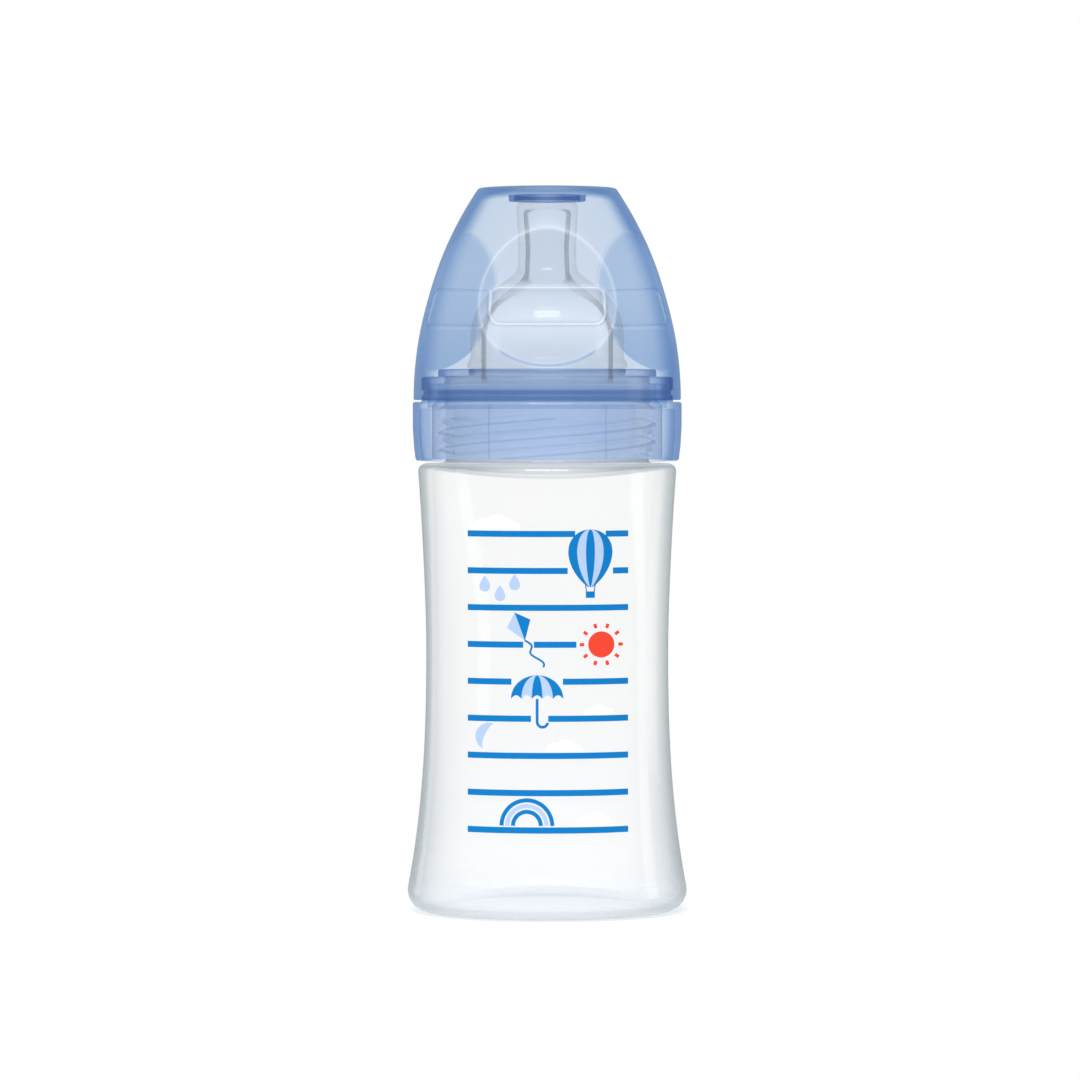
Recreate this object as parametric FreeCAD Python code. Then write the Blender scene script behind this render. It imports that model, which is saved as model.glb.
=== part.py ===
import FreeCAD, Part
import math
import os
from FreeCAD import Vector

# A wide-neck baby bottle: a waisted, softly three-lobed bottle, a silicone teat, a double-walled screw ring
# and a translucent cap with three thumb scoops. Millimetres, +Z up. The origin is the middle of the foot,
# on the surface that the bottle stands on, and -Y is the front.

# Bottle body
SHOULDER_Z = 111.4
BASE_HALF_WIDTH = 36.0
WAIST_HALF_WIDTH = 30.2
SHOULDER_HALF_WIDTH = 32.4
WAIST_Z = 66.0
LOWER_FLARE_POWER = 2.5
UPPER_FLARE_POWER = 1.6
WAIST_LOBE = 0.058
BASE_LOBE = 0.036
LOBE_COUNT = 3
BODY_WALL = 1.8
FLOOR_WALL = 2.0
BASE_CORNER = 5.0
SHOULDER_CORNER = 2.0
FOOT_INNER_R = 26.0
PUSH_UP = 3.0
BODY_LEVELS = 7
SECTION_POINTS = 18

# Neck of the bottle
NECK_R = 25.3
NECK_BORE_R = 23.0
NECK_ROOT_CORNER = 1.2
RIM_Z = 131.3
RIM_CORNER = 0.6

# Screw ring
RING_BOTTOM_Z = 112.0
RING_R = 33.6
RING_FOOT_R = 32.85
RING_LEDGE_Z = 126.75
RING_WALL = 1.6
COLLAR_R = 31.4
COLLAR_TOP_Z = 133.0
SNAP_GROOVE_R = 30.9
SNAP_GROOVE_Z = (128.2, 129.8)
CROWN_R = 27.25
CROWN_TOP_Z = 134.9
LIP_R = 19.6
LIP_UNDERSIDE_Z = 133.3
SLEEVE_R = 28.6
THREAD_ROOT_R = 27.2
SEAT_BORE_R = 25.7

# Teat
TEAT_FLANGE_R = 25.3
TEAT_FLANGE_Z = (131.4, 133.2)
TEAT_BASE_R = 19.15
TEAT_BASE_BORE_R = 16.4
TEAT_BEAD_R = 20.0
NIPPLE_WAIST_R = 7.1
NIPPLE_TIP_R = 7.85
NIPPLE_TIP_Z = 177.3
NIPPLE_WALL = 1.8
FEED_HOLE_R = 0.4

# Protective cap
CAP_BOTTOM_Z = 127.2
CAP_R = 33.4
CAP_SPRING_Z = 127.0
CAP_PROFILE_R = 94.6
CAP_TOP_Z = 180.0
CAP_TOP_CORNER = 1.0
CAP_WALL = 1.6
CAP_RIM_CORNER = 0.4
CAP_BEAD_R = 31.5
CAP_SEAL_R = 9.6
CAP_SEAL_WALL = 1.4
CAP_SEAL_Z = 176.75
SCOOP_R = 48.5
SCOOP_AXIS_OUT = 71.7
SCOOP_AXIS_Z = 164.7

PROBE = 0.05
REACH = 200.0


def level_edges(shape, z, radius=None):
    """The edges of a shape that lie flat at one height, or only the circles of one radius there."""
    found = []
    for edge in shape.Edges:
        box = edge.BoundBox
        if abs(box.ZMin - z) > PROBE or abs(box.ZMax - z) > PROBE:
            continue
        if radius is None or abs(box.XMax - radius) < PROBE:
            found.append(edge)
    return found


def rounded_outline(corners):
    """A closed outline in the XZ plane through (r, z, corner radius), each corner turned by a tangent arc."""
    points = [Vector(r, 0, z) for r, z, _ in corners]
    arcs = []
    for i, (_, _, radius) in enumerate(corners):
        here = points[i]
        to_before = (points[i - 1] - here).normalize()
        to_after = (points[(i + 1) % len(points)] - here).normalize()
        if radius == 0:
            arcs.append((here, None, here))
            continue
        half_angle = to_before.getAngle(to_after) / 2
        setback = radius / math.tan(half_angle)
        inward = (to_before + to_after).normalize()
        middle = here + inward * (radius / math.sin(half_angle) - radius)
        arcs.append((here + to_before * setback, middle, here + to_after * setback))
    edges = []
    for i, (start, middle, end) in enumerate(arcs):
        if middle is not None:
            edges.append(Part.Arc(start, middle, end).toShape())
        next_start = arcs[(i + 1) % len(arcs)][0]
        if end.distanceToPoint(next_start) > 1e-6:
            edges.append(Part.makeLine(end, next_start))
    return Part.Wire(edges)


def turned(corners):
    """A solid of revolution about the bottle's axis from a rounded outline."""
    face = Part.Face(rounded_outline(corners))
    return face.revolve(Vector(0, 0, 0), Vector(0, 0, 1), 360)


def upright_cylinder(radius, low, high):
    return Part.makeCylinder(radius, high - low, Vector(0, 0, low))


def waist_distance(z):
    """How far a height is from the waist: 0 at the waist and 1 at the foot or at the shoulder."""
    if z < WAIST_Z:
        return (WAIST_Z - z) / WAIST_Z
    return (z - WAIST_Z) / (SHOULDER_Z - WAIST_Z)


def body_half_width(z):
    """Half the width of the body seen from the front: the waist, plus a flare that grows as a power."""
    away = waist_distance(z)
    if z < WAIST_Z:
        return WAIST_HALF_WIDTH + (BASE_HALF_WIDTH - WAIST_HALF_WIDTH) * away**LOWER_FLARE_POWER
    return WAIST_HALF_WIDTH + (SHOULDER_HALF_WIDTH - WAIST_HALF_WIDTH) * away**UPPER_FLARE_POWER


def body_lobe(z):
    """Depth of the lobes as a share of the radius: most at the waist, less at the foot, none at the shoulder."""
    end_lobe = BASE_LOBE if z < WAIST_Z else 0.0
    return end_lobe + (WAIST_LOBE - end_lobe) * math.cos(math.pi / 2 * waist_distance(z)) ** 2


def lobed_section(z, inset):
    """The body's outline at one height: r = R (1 - lobe cos 3a), flat at the front and 120 degrees each way."""
    lobe = body_lobe(z)
    # The widest point of the outline is past the side, so R is a little less than the half width.
    middle_r = body_half_width(z) / (1 + 0.5 * (LOBE_COUNT * lobe) ** 2)
    outline = []
    for i in range(SECTION_POINTS):
        angle = 2 * math.pi * i / SECTION_POINTS
        r = middle_r * (1 - lobe * math.cos(LOBE_COUNT * angle)) - inset
        outline.append(Vector(r * math.sin(angle), -r * math.cos(angle), z))
    curve = Part.BSplineCurve()
    curve.interpolate(Points=outline, PeriodicFlag=True)
    return Part.Wire([curve.toShape()])


def body_loft(low, high, inset, low_corner, high_corner):
    """The body between two heights, drawn in by an inset, with its lower and upper edges rounded."""
    heights = [low + (high - low) * i / (BODY_LEVELS - 1) for i in range(BODY_LEVELS)]
    loft = Part.makeLoft([lobed_section(z, inset) for z in heights], True)
    loft = loft.makeFillet(low_corner, level_edges(loft, low))
    return loft.makeFillet(high_corner, level_edges(loft, high))


def make_bottle_body():
    """One blow-moulded shell: lofted body, pushed-up foot, flat shoulder and a plain neck."""
    body = body_loft(0, SHOULDER_Z, 0, BASE_CORNER, SHOULDER_CORNER)
    body = body.fuse(upright_cylinder(NECK_R, SHOULDER_Z - BODY_WALL, RIM_Z)).removeSplitter()
    body = body.makeFillet(NECK_ROOT_CORNER, level_edges(body, SHOULDER_Z, NECK_R))
    body = body.makeFillet(RIM_CORNER, level_edges(body, RIM_Z, NECK_R))

    # The foot is pushed up as a shallow ball, and the floor inside follows it.
    ball_r = (FOOT_INNER_R**2 + PUSH_UP**2) / (2 * PUSH_UP)
    ball_centre = Vector(0, 0, PUSH_UP - ball_r)
    hollow = body_loft(
        FLOOR_WALL, SHOULDER_Z - BODY_WALL, BODY_WALL, BASE_CORNER - BODY_WALL, SHOULDER_CORNER - BODY_WALL / 2
    )
    hollow = hollow.cut(Part.makeSphere(ball_r + FLOOR_WALL, ball_centre))
    hollow = hollow.fuse(upright_cylinder(NECK_BORE_R, SHOULDER_Z - 2 * BODY_WALL, RIM_Z + 1))
    body = body.cut(hollow).cut(Part.makeSphere(ball_r, ball_centre))
    return body.makeFillet(RIM_CORNER, level_edges(body, RIM_Z, NECK_BORE_R))


def make_screw_ring():
    """A skirt, a collar and a sleeve round one space that is open below, under a lip that clamps the teat."""
    groove_low, groove_high = SNAP_GROOVE_Z
    skirt_inner_r = RING_R - RING_WALL
    collar_inner_r = COLLAR_R - 1.5
    web_z = RING_LEDGE_Z - RING_WALL
    collar_web_z = COLLAR_TOP_Z - RING_WALL
    taper_z = RING_BOTTOM_Z + 6.0
    sleeve_bottom_z = RING_BOTTOM_Z + 0.5
    seat_step_z = 126.0
    upper_sleeve_r = SEAT_BORE_R + RING_WALL
    return turned([
        (LIP_R, CROWN_TOP_Z, 0.5),
        (CROWN_R, CROWN_TOP_Z, 0.7),
        (CROWN_R, COLLAR_TOP_Z, 0.3),
        (COLLAR_R, COLLAR_TOP_Z, 0.6),
        (COLLAR_R, groove_high, 0.2),
        (SNAP_GROOVE_R, groove_high - 0.3, 0.2),
        (SNAP_GROOVE_R, groove_low + 0.3, 0.2),
        (COLLAR_R, groove_low, 0.2),
        (COLLAR_R, RING_LEDGE_Z, 0.3),
        (RING_R, RING_LEDGE_Z, 0.6),
        (RING_R, taper_z, 40.0),
        (RING_FOOT_R, RING_BOTTOM_Z, 0.8),
        (RING_FOOT_R - RING_WALL, RING_BOTTOM_Z, 0.5),
        (skirt_inner_r, taper_z, 0),
        (skirt_inner_r, web_z, 0.8),
        (collar_inner_r, web_z, 0.5),
        (collar_inner_r, collar_web_z, 0.5),
        (upper_sleeve_r, collar_web_z, 0.5),
        (upper_sleeve_r, seat_step_z + 1.5, 0),
        (SLEEVE_R, seat_step_z, 0),
        (SLEEVE_R, sleeve_bottom_z, 0.4),
        (THREAD_ROOT_R, sleeve_bottom_z, 0.4),
        (THREAD_ROOT_R, seat_step_z - 1.0, 0),
        (SEAT_BORE_R, seat_step_z, 0),
        (SEAT_BORE_R, LIP_UNDERSIDE_Z, 0.3),
        (LIP_R, LIP_UNDERSIDE_Z, 0.3),
    ])


def make_teat():
    """Flange, snap groove, straight base, dome and nipple in one turned wall, with a feeding hole in the tip."""
    flange_low, flange_high = TEAT_FLANGE_Z
    dome_corner_z = 150.6
    nipple_root_z = 159.2
    nipple_waist_z = 165.5
    groove_r = TEAT_BASE_R
    bead_low_z = CROWN_TOP_Z + 0.3
    bead_high_z = bead_low_z + 1.2
    tip_floor_z = NIPPLE_TIP_Z - NIPPLE_WALL - 0.4
    wall_drop_z = 1.4
    teat = turned([
        (TEAT_BASE_BORE_R, flange_low, 0.6),
        (TEAT_FLANGE_R, flange_low, 0.4),
        (TEAT_FLANGE_R, flange_high, 0.6),
        (groove_r, flange_high, 0.3),
        (groove_r, bead_low_z, 0),
        (TEAT_BEAD_R, bead_low_z, 0.4),
        (TEAT_BEAD_R, bead_high_z, 0.4),
        (TEAT_BASE_R, bead_high_z + 1.2, 1.0),
        (TEAT_BASE_R, dome_corner_z, 15.0),
        (NIPPLE_WAIST_R + 0.3, nipple_root_z, 3.0),
        (NIPPLE_WAIST_R, nipple_waist_z, 30.0),
        (NIPPLE_TIP_R, NIPPLE_TIP_Z, 2.6),
        (0, NIPPLE_TIP_Z, 0),
        (0, tip_floor_z, 0),
        (NIPPLE_TIP_R - NIPPLE_WALL, tip_floor_z, 1.6),
        (NIPPLE_WAIST_R - NIPPLE_WALL, nipple_waist_z, 30.0),
        (NIPPLE_WAIST_R - NIPPLE_WALL + 0.3, nipple_root_z - wall_drop_z, 4.5),
        (TEAT_BASE_BORE_R, dome_corner_z - wall_drop_z, 13.0),
    ])
    return teat.cut(upright_cylinder(FEED_HOLE_R, tip_floor_z - 1, NIPPLE_TIP_Z + 1))


def cap_dome(inset):
    """The cap's round ogive, drawn in by an inset: one arc that leaves the rim upright and ends at the top."""
    centre_r = CAP_R - CAP_PROFILE_R
    profile_r = CAP_PROFILE_R - inset
    top_z = CAP_TOP_Z - inset

    def on_profile(z):
        return Vector(centre_r + math.sqrt(profile_r**2 - (z - CAP_SPRING_Z) ** 2), 0, z)

    low = on_profile(CAP_BOTTOM_Z)
    high = on_profile(top_z)
    middle = on_profile((CAP_BOTTOM_Z + top_z) / 2)
    foot = Vector(0, 0, CAP_BOTTOM_Z)
    top = Vector(0, 0, top_z)
    outline = Part.Wire([
        Part.makeLine(foot, low),
        Part.Arc(low, middle, high).toShape(),
        Part.makeLine(high, top),
        Part.makeLine(top, foot),
    ])
    dome = Part.Face(outline).revolve(Vector(0, 0, 0), Vector(0, 0, 1), 360)
    return dome.makeFillet(CAP_TOP_CORNER, level_edges(dome, top_z, high.x))


def thumb_scoops(inset):
    """Three level cylinders, at the front and 120 degrees each way, that hollow the sides of the dome."""
    scoops = []
    for i in range(LOBE_COUNT):
        scoop = Part.makeCylinder(
            SCOOP_R + inset, REACH, Vector(-REACH / 2, -SCOOP_AXIS_OUT, SCOOP_AXIS_Z), Vector(1, 0, 0)
        )
        scoop.rotate(Vector(0, 0, 0), Vector(0, 0, 1), 360 / LOBE_COUNT * i)
        scoops.append(scoop)
    return scoops


def make_protective_cap():
    """An even wall round the dome and its scoops, with a sealing ring for the nipple and a snap bead."""
    outside = cap_dome(0).cut(thumb_scoops(0))
    inside = cap_dome(CAP_WALL).cut(thumb_scoops(CAP_WALL))
    seal_ring = upright_cylinder(CAP_SEAL_R, CAP_SEAL_Z, CAP_TOP_Z)
    seal_ring = seal_ring.cut(upright_cylinder(CAP_SEAL_R - CAP_SEAL_WALL, CAP_SEAL_Z, CAP_TOP_Z))
    inside = inside.cut(seal_ring)
    cap = outside.cut(inside)
    cap = cap.makeFillet(CAP_RIM_CORNER, level_edges(cap, CAP_BOTTOM_Z))
    groove_low, groove_high = SNAP_GROOVE_Z
    bead_root_r = CAP_R - CAP_WALL / 2
    bead = turned([
        (bead_root_r, groove_low, 0),
        (bead_root_r, groove_high, 0),
        (CAP_BEAD_R, groove_high - 0.6, 0.2),
        (CAP_BEAD_R, groove_low + 0.6, 0.2),
    ])
    return cap.fuse(bead).removeSplitter()


PIECES = {
    "bottle_body": make_bottle_body,
    "teat": make_teat,
    "screw_ring": make_screw_ring,
    "protective_cap": make_protective_cap,
}

os.makedirs("parts", exist_ok=True)
for name, make in PIECES.items():
    piece = make()
    piece.exportStep(f"parts/{name}.step")
    box = piece.optimalBoundingBox()
    print(
        f"{name}: {len(piece.Solids)} solid, valid {piece.isValid()}, {piece.Volume / 1000:.2f} ml of material, "
        f"x {box.XMin:.2f} to {box.XMax:.2f}, y {box.YMin:.2f} to {box.YMax:.2f}, "
        f"z {box.ZMin:.2f} to {box.ZMax:.2f}"
    )
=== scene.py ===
# %% [markdown]
# # A baby bottle in four mouldings
# The object is a clear bottle, a silicone teat, a pale blue screw ring and a clear blue cap. Each is one
# plastic or silicone moulding, so each becomes one closed surface here. Clear plastic shows its inner walls
# too, and every wall tints what is seen through it, so a surface has its real wall thickness and smooth
# normals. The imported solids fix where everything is. This file dresses them: it never moves or resizes
# them.

import bpy
import numpy as np
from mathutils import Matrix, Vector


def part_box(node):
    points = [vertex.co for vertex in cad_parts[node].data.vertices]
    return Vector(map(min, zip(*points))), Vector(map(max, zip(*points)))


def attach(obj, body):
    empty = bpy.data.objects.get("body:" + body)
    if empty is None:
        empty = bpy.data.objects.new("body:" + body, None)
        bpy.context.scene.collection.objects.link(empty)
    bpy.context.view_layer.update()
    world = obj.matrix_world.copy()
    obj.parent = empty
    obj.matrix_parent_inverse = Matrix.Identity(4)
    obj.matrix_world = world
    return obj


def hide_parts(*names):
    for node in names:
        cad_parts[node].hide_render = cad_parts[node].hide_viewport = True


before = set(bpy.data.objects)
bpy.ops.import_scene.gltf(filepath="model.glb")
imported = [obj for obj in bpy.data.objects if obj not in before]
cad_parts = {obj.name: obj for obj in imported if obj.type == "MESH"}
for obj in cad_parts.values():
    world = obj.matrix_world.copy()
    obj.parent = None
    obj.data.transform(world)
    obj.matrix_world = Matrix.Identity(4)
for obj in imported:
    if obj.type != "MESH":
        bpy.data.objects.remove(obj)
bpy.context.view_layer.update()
MM = 0.001
print("nodes:", sorted(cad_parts))

# %% [markdown]
# ## The camera comes first
# The photograph is taken from the front with a long lens: the top of the ring and the foot show how the
# ellipses open, and that puts the lens a little above the ring and over a metre away. A long lens keeps the
# sides of the cap and of the bottle almost parallel, as they are in the picture.

# %% Camera
CAMERA_DISTANCE = 1.175
CAMERA_HEIGHT = 0.1285
AIM_X = -0.0018
AIM_Z = 0.0922
VIEW_WIDTH = 0.270
SENSOR = 36.0
NEAR_CLIP = 0.01

camera_data = bpy.data.cameras.new("photo_camera")
camera_data.sensor_width = SENSOR
camera_data.lens = SENSOR * CAMERA_DISTANCE / VIEW_WIDTH
camera_data.clip_start = NEAR_CLIP
camera = bpy.data.objects.new("photo_camera", camera_data)
camera.location = (AIM_X, -CAMERA_DISTANCE, CAMERA_HEIGHT)
tilt = np.arctan2(CAMERA_HEIGHT - AIM_Z, CAMERA_DISTANCE)
camera.rotation_euler = (np.pi / 2 - tilt, 0.0, 0.0)
bpy.context.scene.collection.objects.link(camera)
bpy.context.scene.camera = camera
print(f"lens {camera_data.lens:.1f} mm, tilted down {np.degrees(tilt):.2f} degrees")

# %% [markdown]
# ## From a grid of numbers to a mesh
# All four mouldings are made the same way: a profile, drawn once as radius and height, is carried round the
# axis. So a piece is a grid of radii with one row for each point of the profile and one column for each
# direction, and any detail on it (a lobe, a scoop, a thread) is a number added to that radius. The other
# way, modelling each detail as its own body and joining them, would leave seams that clear plastic shows.

# %% Grid meshes
def mark(mesh, name, values):
    """Keeps one number for each point of a mesh, which its material can read by name."""
    kept = mesh.attributes.new(name, "FLOAT", "POINT")
    kept.data.foreach_set("value", np.asarray(values, np.float32))


def mesh_from_faces(name, points, faces):
    """A mesh from points in millimetres and a list of face arrays, one array for each number of corners."""
    corners = np.concatenate([face.ravel() for face in faces])
    sides = np.concatenate([np.full(len(face), face.shape[1]) for face in faces])
    starts = np.concatenate([[0], np.cumsum(sides)[:-1]])
    mesh = bpy.data.meshes.new(name)
    mesh.vertices.add(len(points))
    mesh.vertices.foreach_set("co", (points * MM).astype(np.float32).ravel())
    mesh.loops.add(len(corners))
    mesh.loops.foreach_set("vertex_index", corners.astype(np.int32))
    mesh.polygons.add(len(sides))
    mesh.polygons.foreach_set("loop_start", starts.astype(np.int32))
    mesh.update(calc_edges=True)
    mesh.validate()
    mesh.shade_smooth()
    piece = bpy.data.objects.new(name, mesh)
    bpy.context.scene.collection.objects.link(piece)
    return piece


def enclosed_volume(points, faces):
    """Volume inside a closed surface: a sixth of the sum of a . (b x c) over its triangles."""
    total = 0.0
    for face in faces:
        for i in range(1, face.shape[1] - 1):
            a, b, c = points[face[:, 0]], points[face[:, i]], points[face[:, i + 1]]
            total += np.einsum("ij,ij->", a, np.cross(b, c)) / 6
    return total


def around(columns):
    """Directions round the axis in radians, counted from the front, evenly spaced."""
    return np.linspace(0, 2 * np.pi, columns, endpoint=False)[None, :]


def carried_round(radius, turn, height):
    """Points round the axis: x = r sin a, y = -r cos a, with the turn a counted from the front."""
    return np.stack([radius * np.sin(turn), -radius * np.cos(turn), height], axis=-1).reshape(-1, 3)


def band(low, high):
    """Quads from each row of points to the row that goes with it, closed round the axis."""
    return np.stack([low, np.roll(low, -1, axis=1), np.roll(high, -1, axis=1), high], axis=-1).reshape(-1, 4)


def fan(pole, row):
    """Triangles from one point to every pair of neighbours in a row that is closed round the axis."""
    return np.stack([np.full(row.shape, pole), row, np.roll(row, -1)], axis=-1)


def turned_piece(name, radius, height, turn, closed_loop, outside, ridge=0.0, darkening=0.0):
    """A grid of radii carried round the axis, with a column of heights and a row of directions.

    A closed loop joins its last row to its first. An open profile starts and ends on the axis, where one
    point and a fan of triangles close each end. Three numbers go with each point for the material: outside
    is its share of the outer wall's tint and gloss, ridge is its white matt scatter, frosted haze in a hazy
    zone and a painted highlight along a fine edge, and the third is how much further than it really does
    the wall is drawn to turn away, which darkens it towards its edge tint: painted shade along bands and
    lines, and elsewhere only darker.
    """
    height = np.broadcast_to(height, radius.shape)
    points = carried_round(radius, turn, height)
    index = np.arange(radius.size).reshape(radius.shape)
    if closed_loop:
        faces = [band(index, np.roll(index, -1, axis=0))]
    else:
        poles = np.array([[0.0, 0.0, height[0, 0]], [0.0, 0.0, height[-1, 0]]])
        points = np.concatenate([points, poles])
        first, last = fan(radius.size, index[0])[:, ::-1], fan(radius.size + 1, index[-1])
        faces = [band(index[:-1], index[1:]), first, last]
    volume = enclosed_volume(points, faces)
    if volume < 0:
        faces = [face[:, ::-1] for face in faces]
    piece = mesh_from_faces(name, points, faces)
    for kept, grid in (("outside", outside), ("ridge", ridge), ("darkening", darkening)):
        values = np.zeros(len(points))
        values[:radius.size] = np.broadcast_to(grid, radius.shape).ravel()
        mark(piece.data, kept, values)
    print(f"{name}: {len(faces[0])} quads, {abs(volume) / 1000:.1f} ml of material")
    return piece


# %% [markdown]
# ## Drawing a profile
# The teat and the ring have sections of straight lines whose corners are rounded, so a section is written
# as its corners, each with a radius. Points are then added along it, close together where a thread needs
# them.

# %% Profiles
SAME_RADIUS = 0.05
CLOSEST_POINTS = 0.02


def rounded_profile(corners, arc_degrees=12.0):
    """A line through (radius, height, corner radius), where each corner is turned by a tangent arc.

    The arc's centre lies on the corner's bisector, at corner radius / sin(half angle) from the corner.
    """
    places = np.array([corner[:2] for corner in corners], float)
    stretches = []
    for i, (_, _, bend) in enumerate(corners):
        here = places[i]
        back = places[i - 1] - here
        ahead = places[(i + 1) % len(places)] - here
        back, ahead = back / np.linalg.norm(back), ahead / np.linalg.norm(ahead)
        if bend == 0:
            stretches.append(here[None])
            continue
        half = np.arccos(np.clip(back @ ahead, -1, 1)) / 2
        bisector = (back + ahead) / np.linalg.norm(back + ahead)
        centre = here + bisector * bend / np.sin(half)
        start = here + back * bend / np.tan(half) - centre
        end = here + ahead * bend / np.tan(half) - centre
        sweep = np.pi - 2 * half
        share = np.linspace(0, 1, int(np.ceil(np.degrees(sweep) / arc_degrees)) + 1)[:, None]
        swung = (np.sin((1 - share) * sweep) * start + np.sin(share * sweep) * end) / np.sin(sweep)
        stretches.append(centre + swung)
    return np.concatenate(stretches)


def spaced(profile, step, fine_step=1.0, fine_radius=0.0):
    """A closed profile with points added: a step apart, and a fine step apart along one radius."""
    closed = np.concatenate([profile, profile[:1]])
    along = np.concatenate([[0], np.cumsum(np.hypot(*np.diff(closed, axis=0).T))])
    fine = np.arange(0, along[-1], fine_step)
    fine = fine[np.abs(np.interp(fine, along, closed[:, 0]) - fine_radius) < SAME_RADIUS]
    marks = np.union1d(np.union1d(along, fine), np.linspace(0, along[-1], int(along[-1] / step) + 1))
    marks = marks[np.concatenate([[True], np.diff(marks) > CLOSEST_POINTS])][:-1]
    return np.column_stack([np.interp(marks, along, closed[:, 0]), np.interp(marks, along, closed[:, 1])])


def smooth_step(low, high, value):
    """0 below low, 1 above high, and an S-curve 3t^2 - 2t^3 between."""
    t = np.clip((value - low) / (high - low), 0, 1)
    return t * t * (3 - 2 * t)


# %% [markdown]
# ## The screw thread
# The bottle and the ring carry one three-start thread. A ridge is where the height, less the lead times the
# turn, comes near a whole number of pitches, so a thread is a bump of radius over the grid. A swept helix
# would be the other way, but it would have to be cut into the neck, and the grid already is the neck. Each
# ridge ends squarely where its own middle line leaves the threaded zone, as a moulded ridge does.

# %% Thread
THREAD_STARTS = 3
THREAD_LEAD = 13.2
THREAD_PITCH = THREAD_LEAD / THREAD_STARTS
THREAD_TOP_WIDTH = 0.9
THREAD_FLANK = 0.5
THREAD_END = 0.12
THREAD_LINE = 0.22
print(f"thread: {THREAD_STARTS} starts, a ridge every {THREAD_PITCH:.1f} mm")


def thread_ridges(height, turn, phase, zone):
    """From 0 on the root to 1 on the crest of a right-handed thread: height - lead turn / 2 pi, by pitch.

    Two more grids are fine lines along the upper and the lower flanks, which show through clear plastic
    as a painted highlight and painted shade.
    """
    climb = phase + THREAD_LEAD * turn / (2 * np.pi)
    count = np.round((height - climb) / THREAD_PITCH)
    middle = climb + count * THREAD_PITCH
    beside = height - middle
    half_top = THREAD_TOP_WIDTH / 2
    flank_at = half_top + THREAD_FLANK / 2
    ridge = 1 - smooth_step(half_top, half_top + THREAD_FLANK, np.abs(beside))
    upper, lower = (np.exp(-(((beside - at) / THREAD_LINE) ** 2)) for at in (flank_at, -flank_at))
    inside = smooth_step(zone[0], zone[0] + THREAD_END, middle)
    inside = inside * (1 - smooth_step(zone[1] - THREAD_END, zone[1], middle))
    return ridge * inside, upper * inside, lower * inside


# %% [markdown]
# ## The bottle
# Seen from the front the bottle is waisted. Seen from above it is a soft three-cornered shape, flat at the
# front and at 120 degrees each way, round at the shoulder and deepest in the lobes at the waist, where
# small hands hold it. One formula gives its outline at any height: R (1 - lobe cos 3a). The foot, the
# corners and the shoulder draw that outline in, and the neck and the pushed-up floor are plain circles, so
# every row of the grid is a blend of the two. The plastic is haziest low down and in the thick neck, where
# its bore is frosted and hides the far side of the thread.

# %% Bottle outline
_, body_high = (np.array(corner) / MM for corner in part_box("bottle_body"))
RIM_Z = body_high[2]
SHOULDER_Z = 111.4
BASE_HALF_WIDTH = 35.97
WAIST_HALF_WIDTH = 30.2
SHOULDER_HALF_WIDTH = 32.4
WAIST_Z = 66.0
LOWER_FLARE_POWER = 2.5
UPPER_FLARE_POWER = 1.6
WAIST_LOBE = 0.058
BASE_LOBE = 0.036
LOBES = 3
THIRD = 2 * np.pi / LOBES
QUARTER = np.pi / 2


def body_outline(height, turn):
    """Outer radius of the body: half width over (1 + (3 lobe)^2 / 2), times (1 - lobe cos 3a)."""
    below = height < WAIST_Z
    away = np.where(below, (WAIST_Z - height) / WAIST_Z, (height - WAIST_Z) / (SHOULDER_Z - WAIST_Z))
    away = np.clip(away, 0, 1)
    flare = np.where(
        below,
        (BASE_HALF_WIDTH - WAIST_HALF_WIDTH) * away**LOWER_FLARE_POWER,
        (SHOULDER_HALF_WIDTH - WAIST_HALF_WIDTH) * away**UPPER_FLARE_POWER,
    )
    end_lobe = np.where(below, BASE_LOBE, 0.0)
    lobe = end_lobe + (WAIST_LOBE - end_lobe) * np.cos(QUARTER * away) ** 2
    middle = (WAIST_HALF_WIDTH + flare) / (1 + (LOBES * lobe) ** 2 / 2)
    return middle * (1 - lobe * np.cos(LOBES * turn))


# %% Rows of the bottle
BODY_WALL = 1.8
FLOOR_WALL = 2.0
BASE_CORNER = 5.0
BASE_LEAN = np.radians(11.0)
SHOULDER_CORNER = 2.0
SHOULDER_LEAN = np.radians(-4.3)
FOOT_R = 26.0
FLOOR_MIDDLE_R = 1.5
PUSH_UP = 3.0
BALL_R = (FOOT_R**2 + PUSH_UP**2) / (2 * PUSH_UP)
NECK_R = 25.3
NECK_BORE_R = 23.0
NECK_ROOT = 1.2
RIM_CORNER = 0.6
MOUTH_EDGE = 0.8
SHOULDER_DIP = 3.2
SHOULDER_FADE = 0.6
SHOULDER_STEP = 0.3
NECK_STEP = 0.2
FLOOR_ROWS = 14
EDGE_ROWS = 5
ROOT_ROWS = 6
BORE_ROWS = 16
FOOT_ROWS, INNER_FOOT_ROWS = 10, 8
WALL_ROWS, INNER_WALL_ROWS = 60, 64
SHOULDER_ROWS, INNER_SHOULDER_ROWS = 8, 6
BLEND = np.linspace(0, 1, 7)[1:-1]


def shell_rows(height, outline_height=None, inset=0.0, circle=0.0, share=1.0):
    """Rows of the shell: share of the body's outline, drawn in by an inset, and the rest a plain circle."""
    height = np.atleast_1d(np.asarray(height, float))
    outline_height = height if outline_height is None else outline_height
    parts = [np.broadcast_to(part, height.shape) for part in (outline_height, inset, circle, share)]
    return np.stack([height, *parts])


def circle_rows(height, radius):
    """Rows of the shell that are plain circles."""
    return shell_rows(height, circle=radius, share=0.0)


def corner_rows(centre_z, radius, lean, wall, angles):
    """A rounded corner that leaves the wall at its lean: the arc's centre is a radius in from the wall."""
    touch_z = centre_z + radius * np.sin(lean)
    inset = wall + radius * np.cos(lean) - radius * np.cos(angles)
    return shell_rows(centre_z + radius * np.sin(angles), touch_z, inset)


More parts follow.
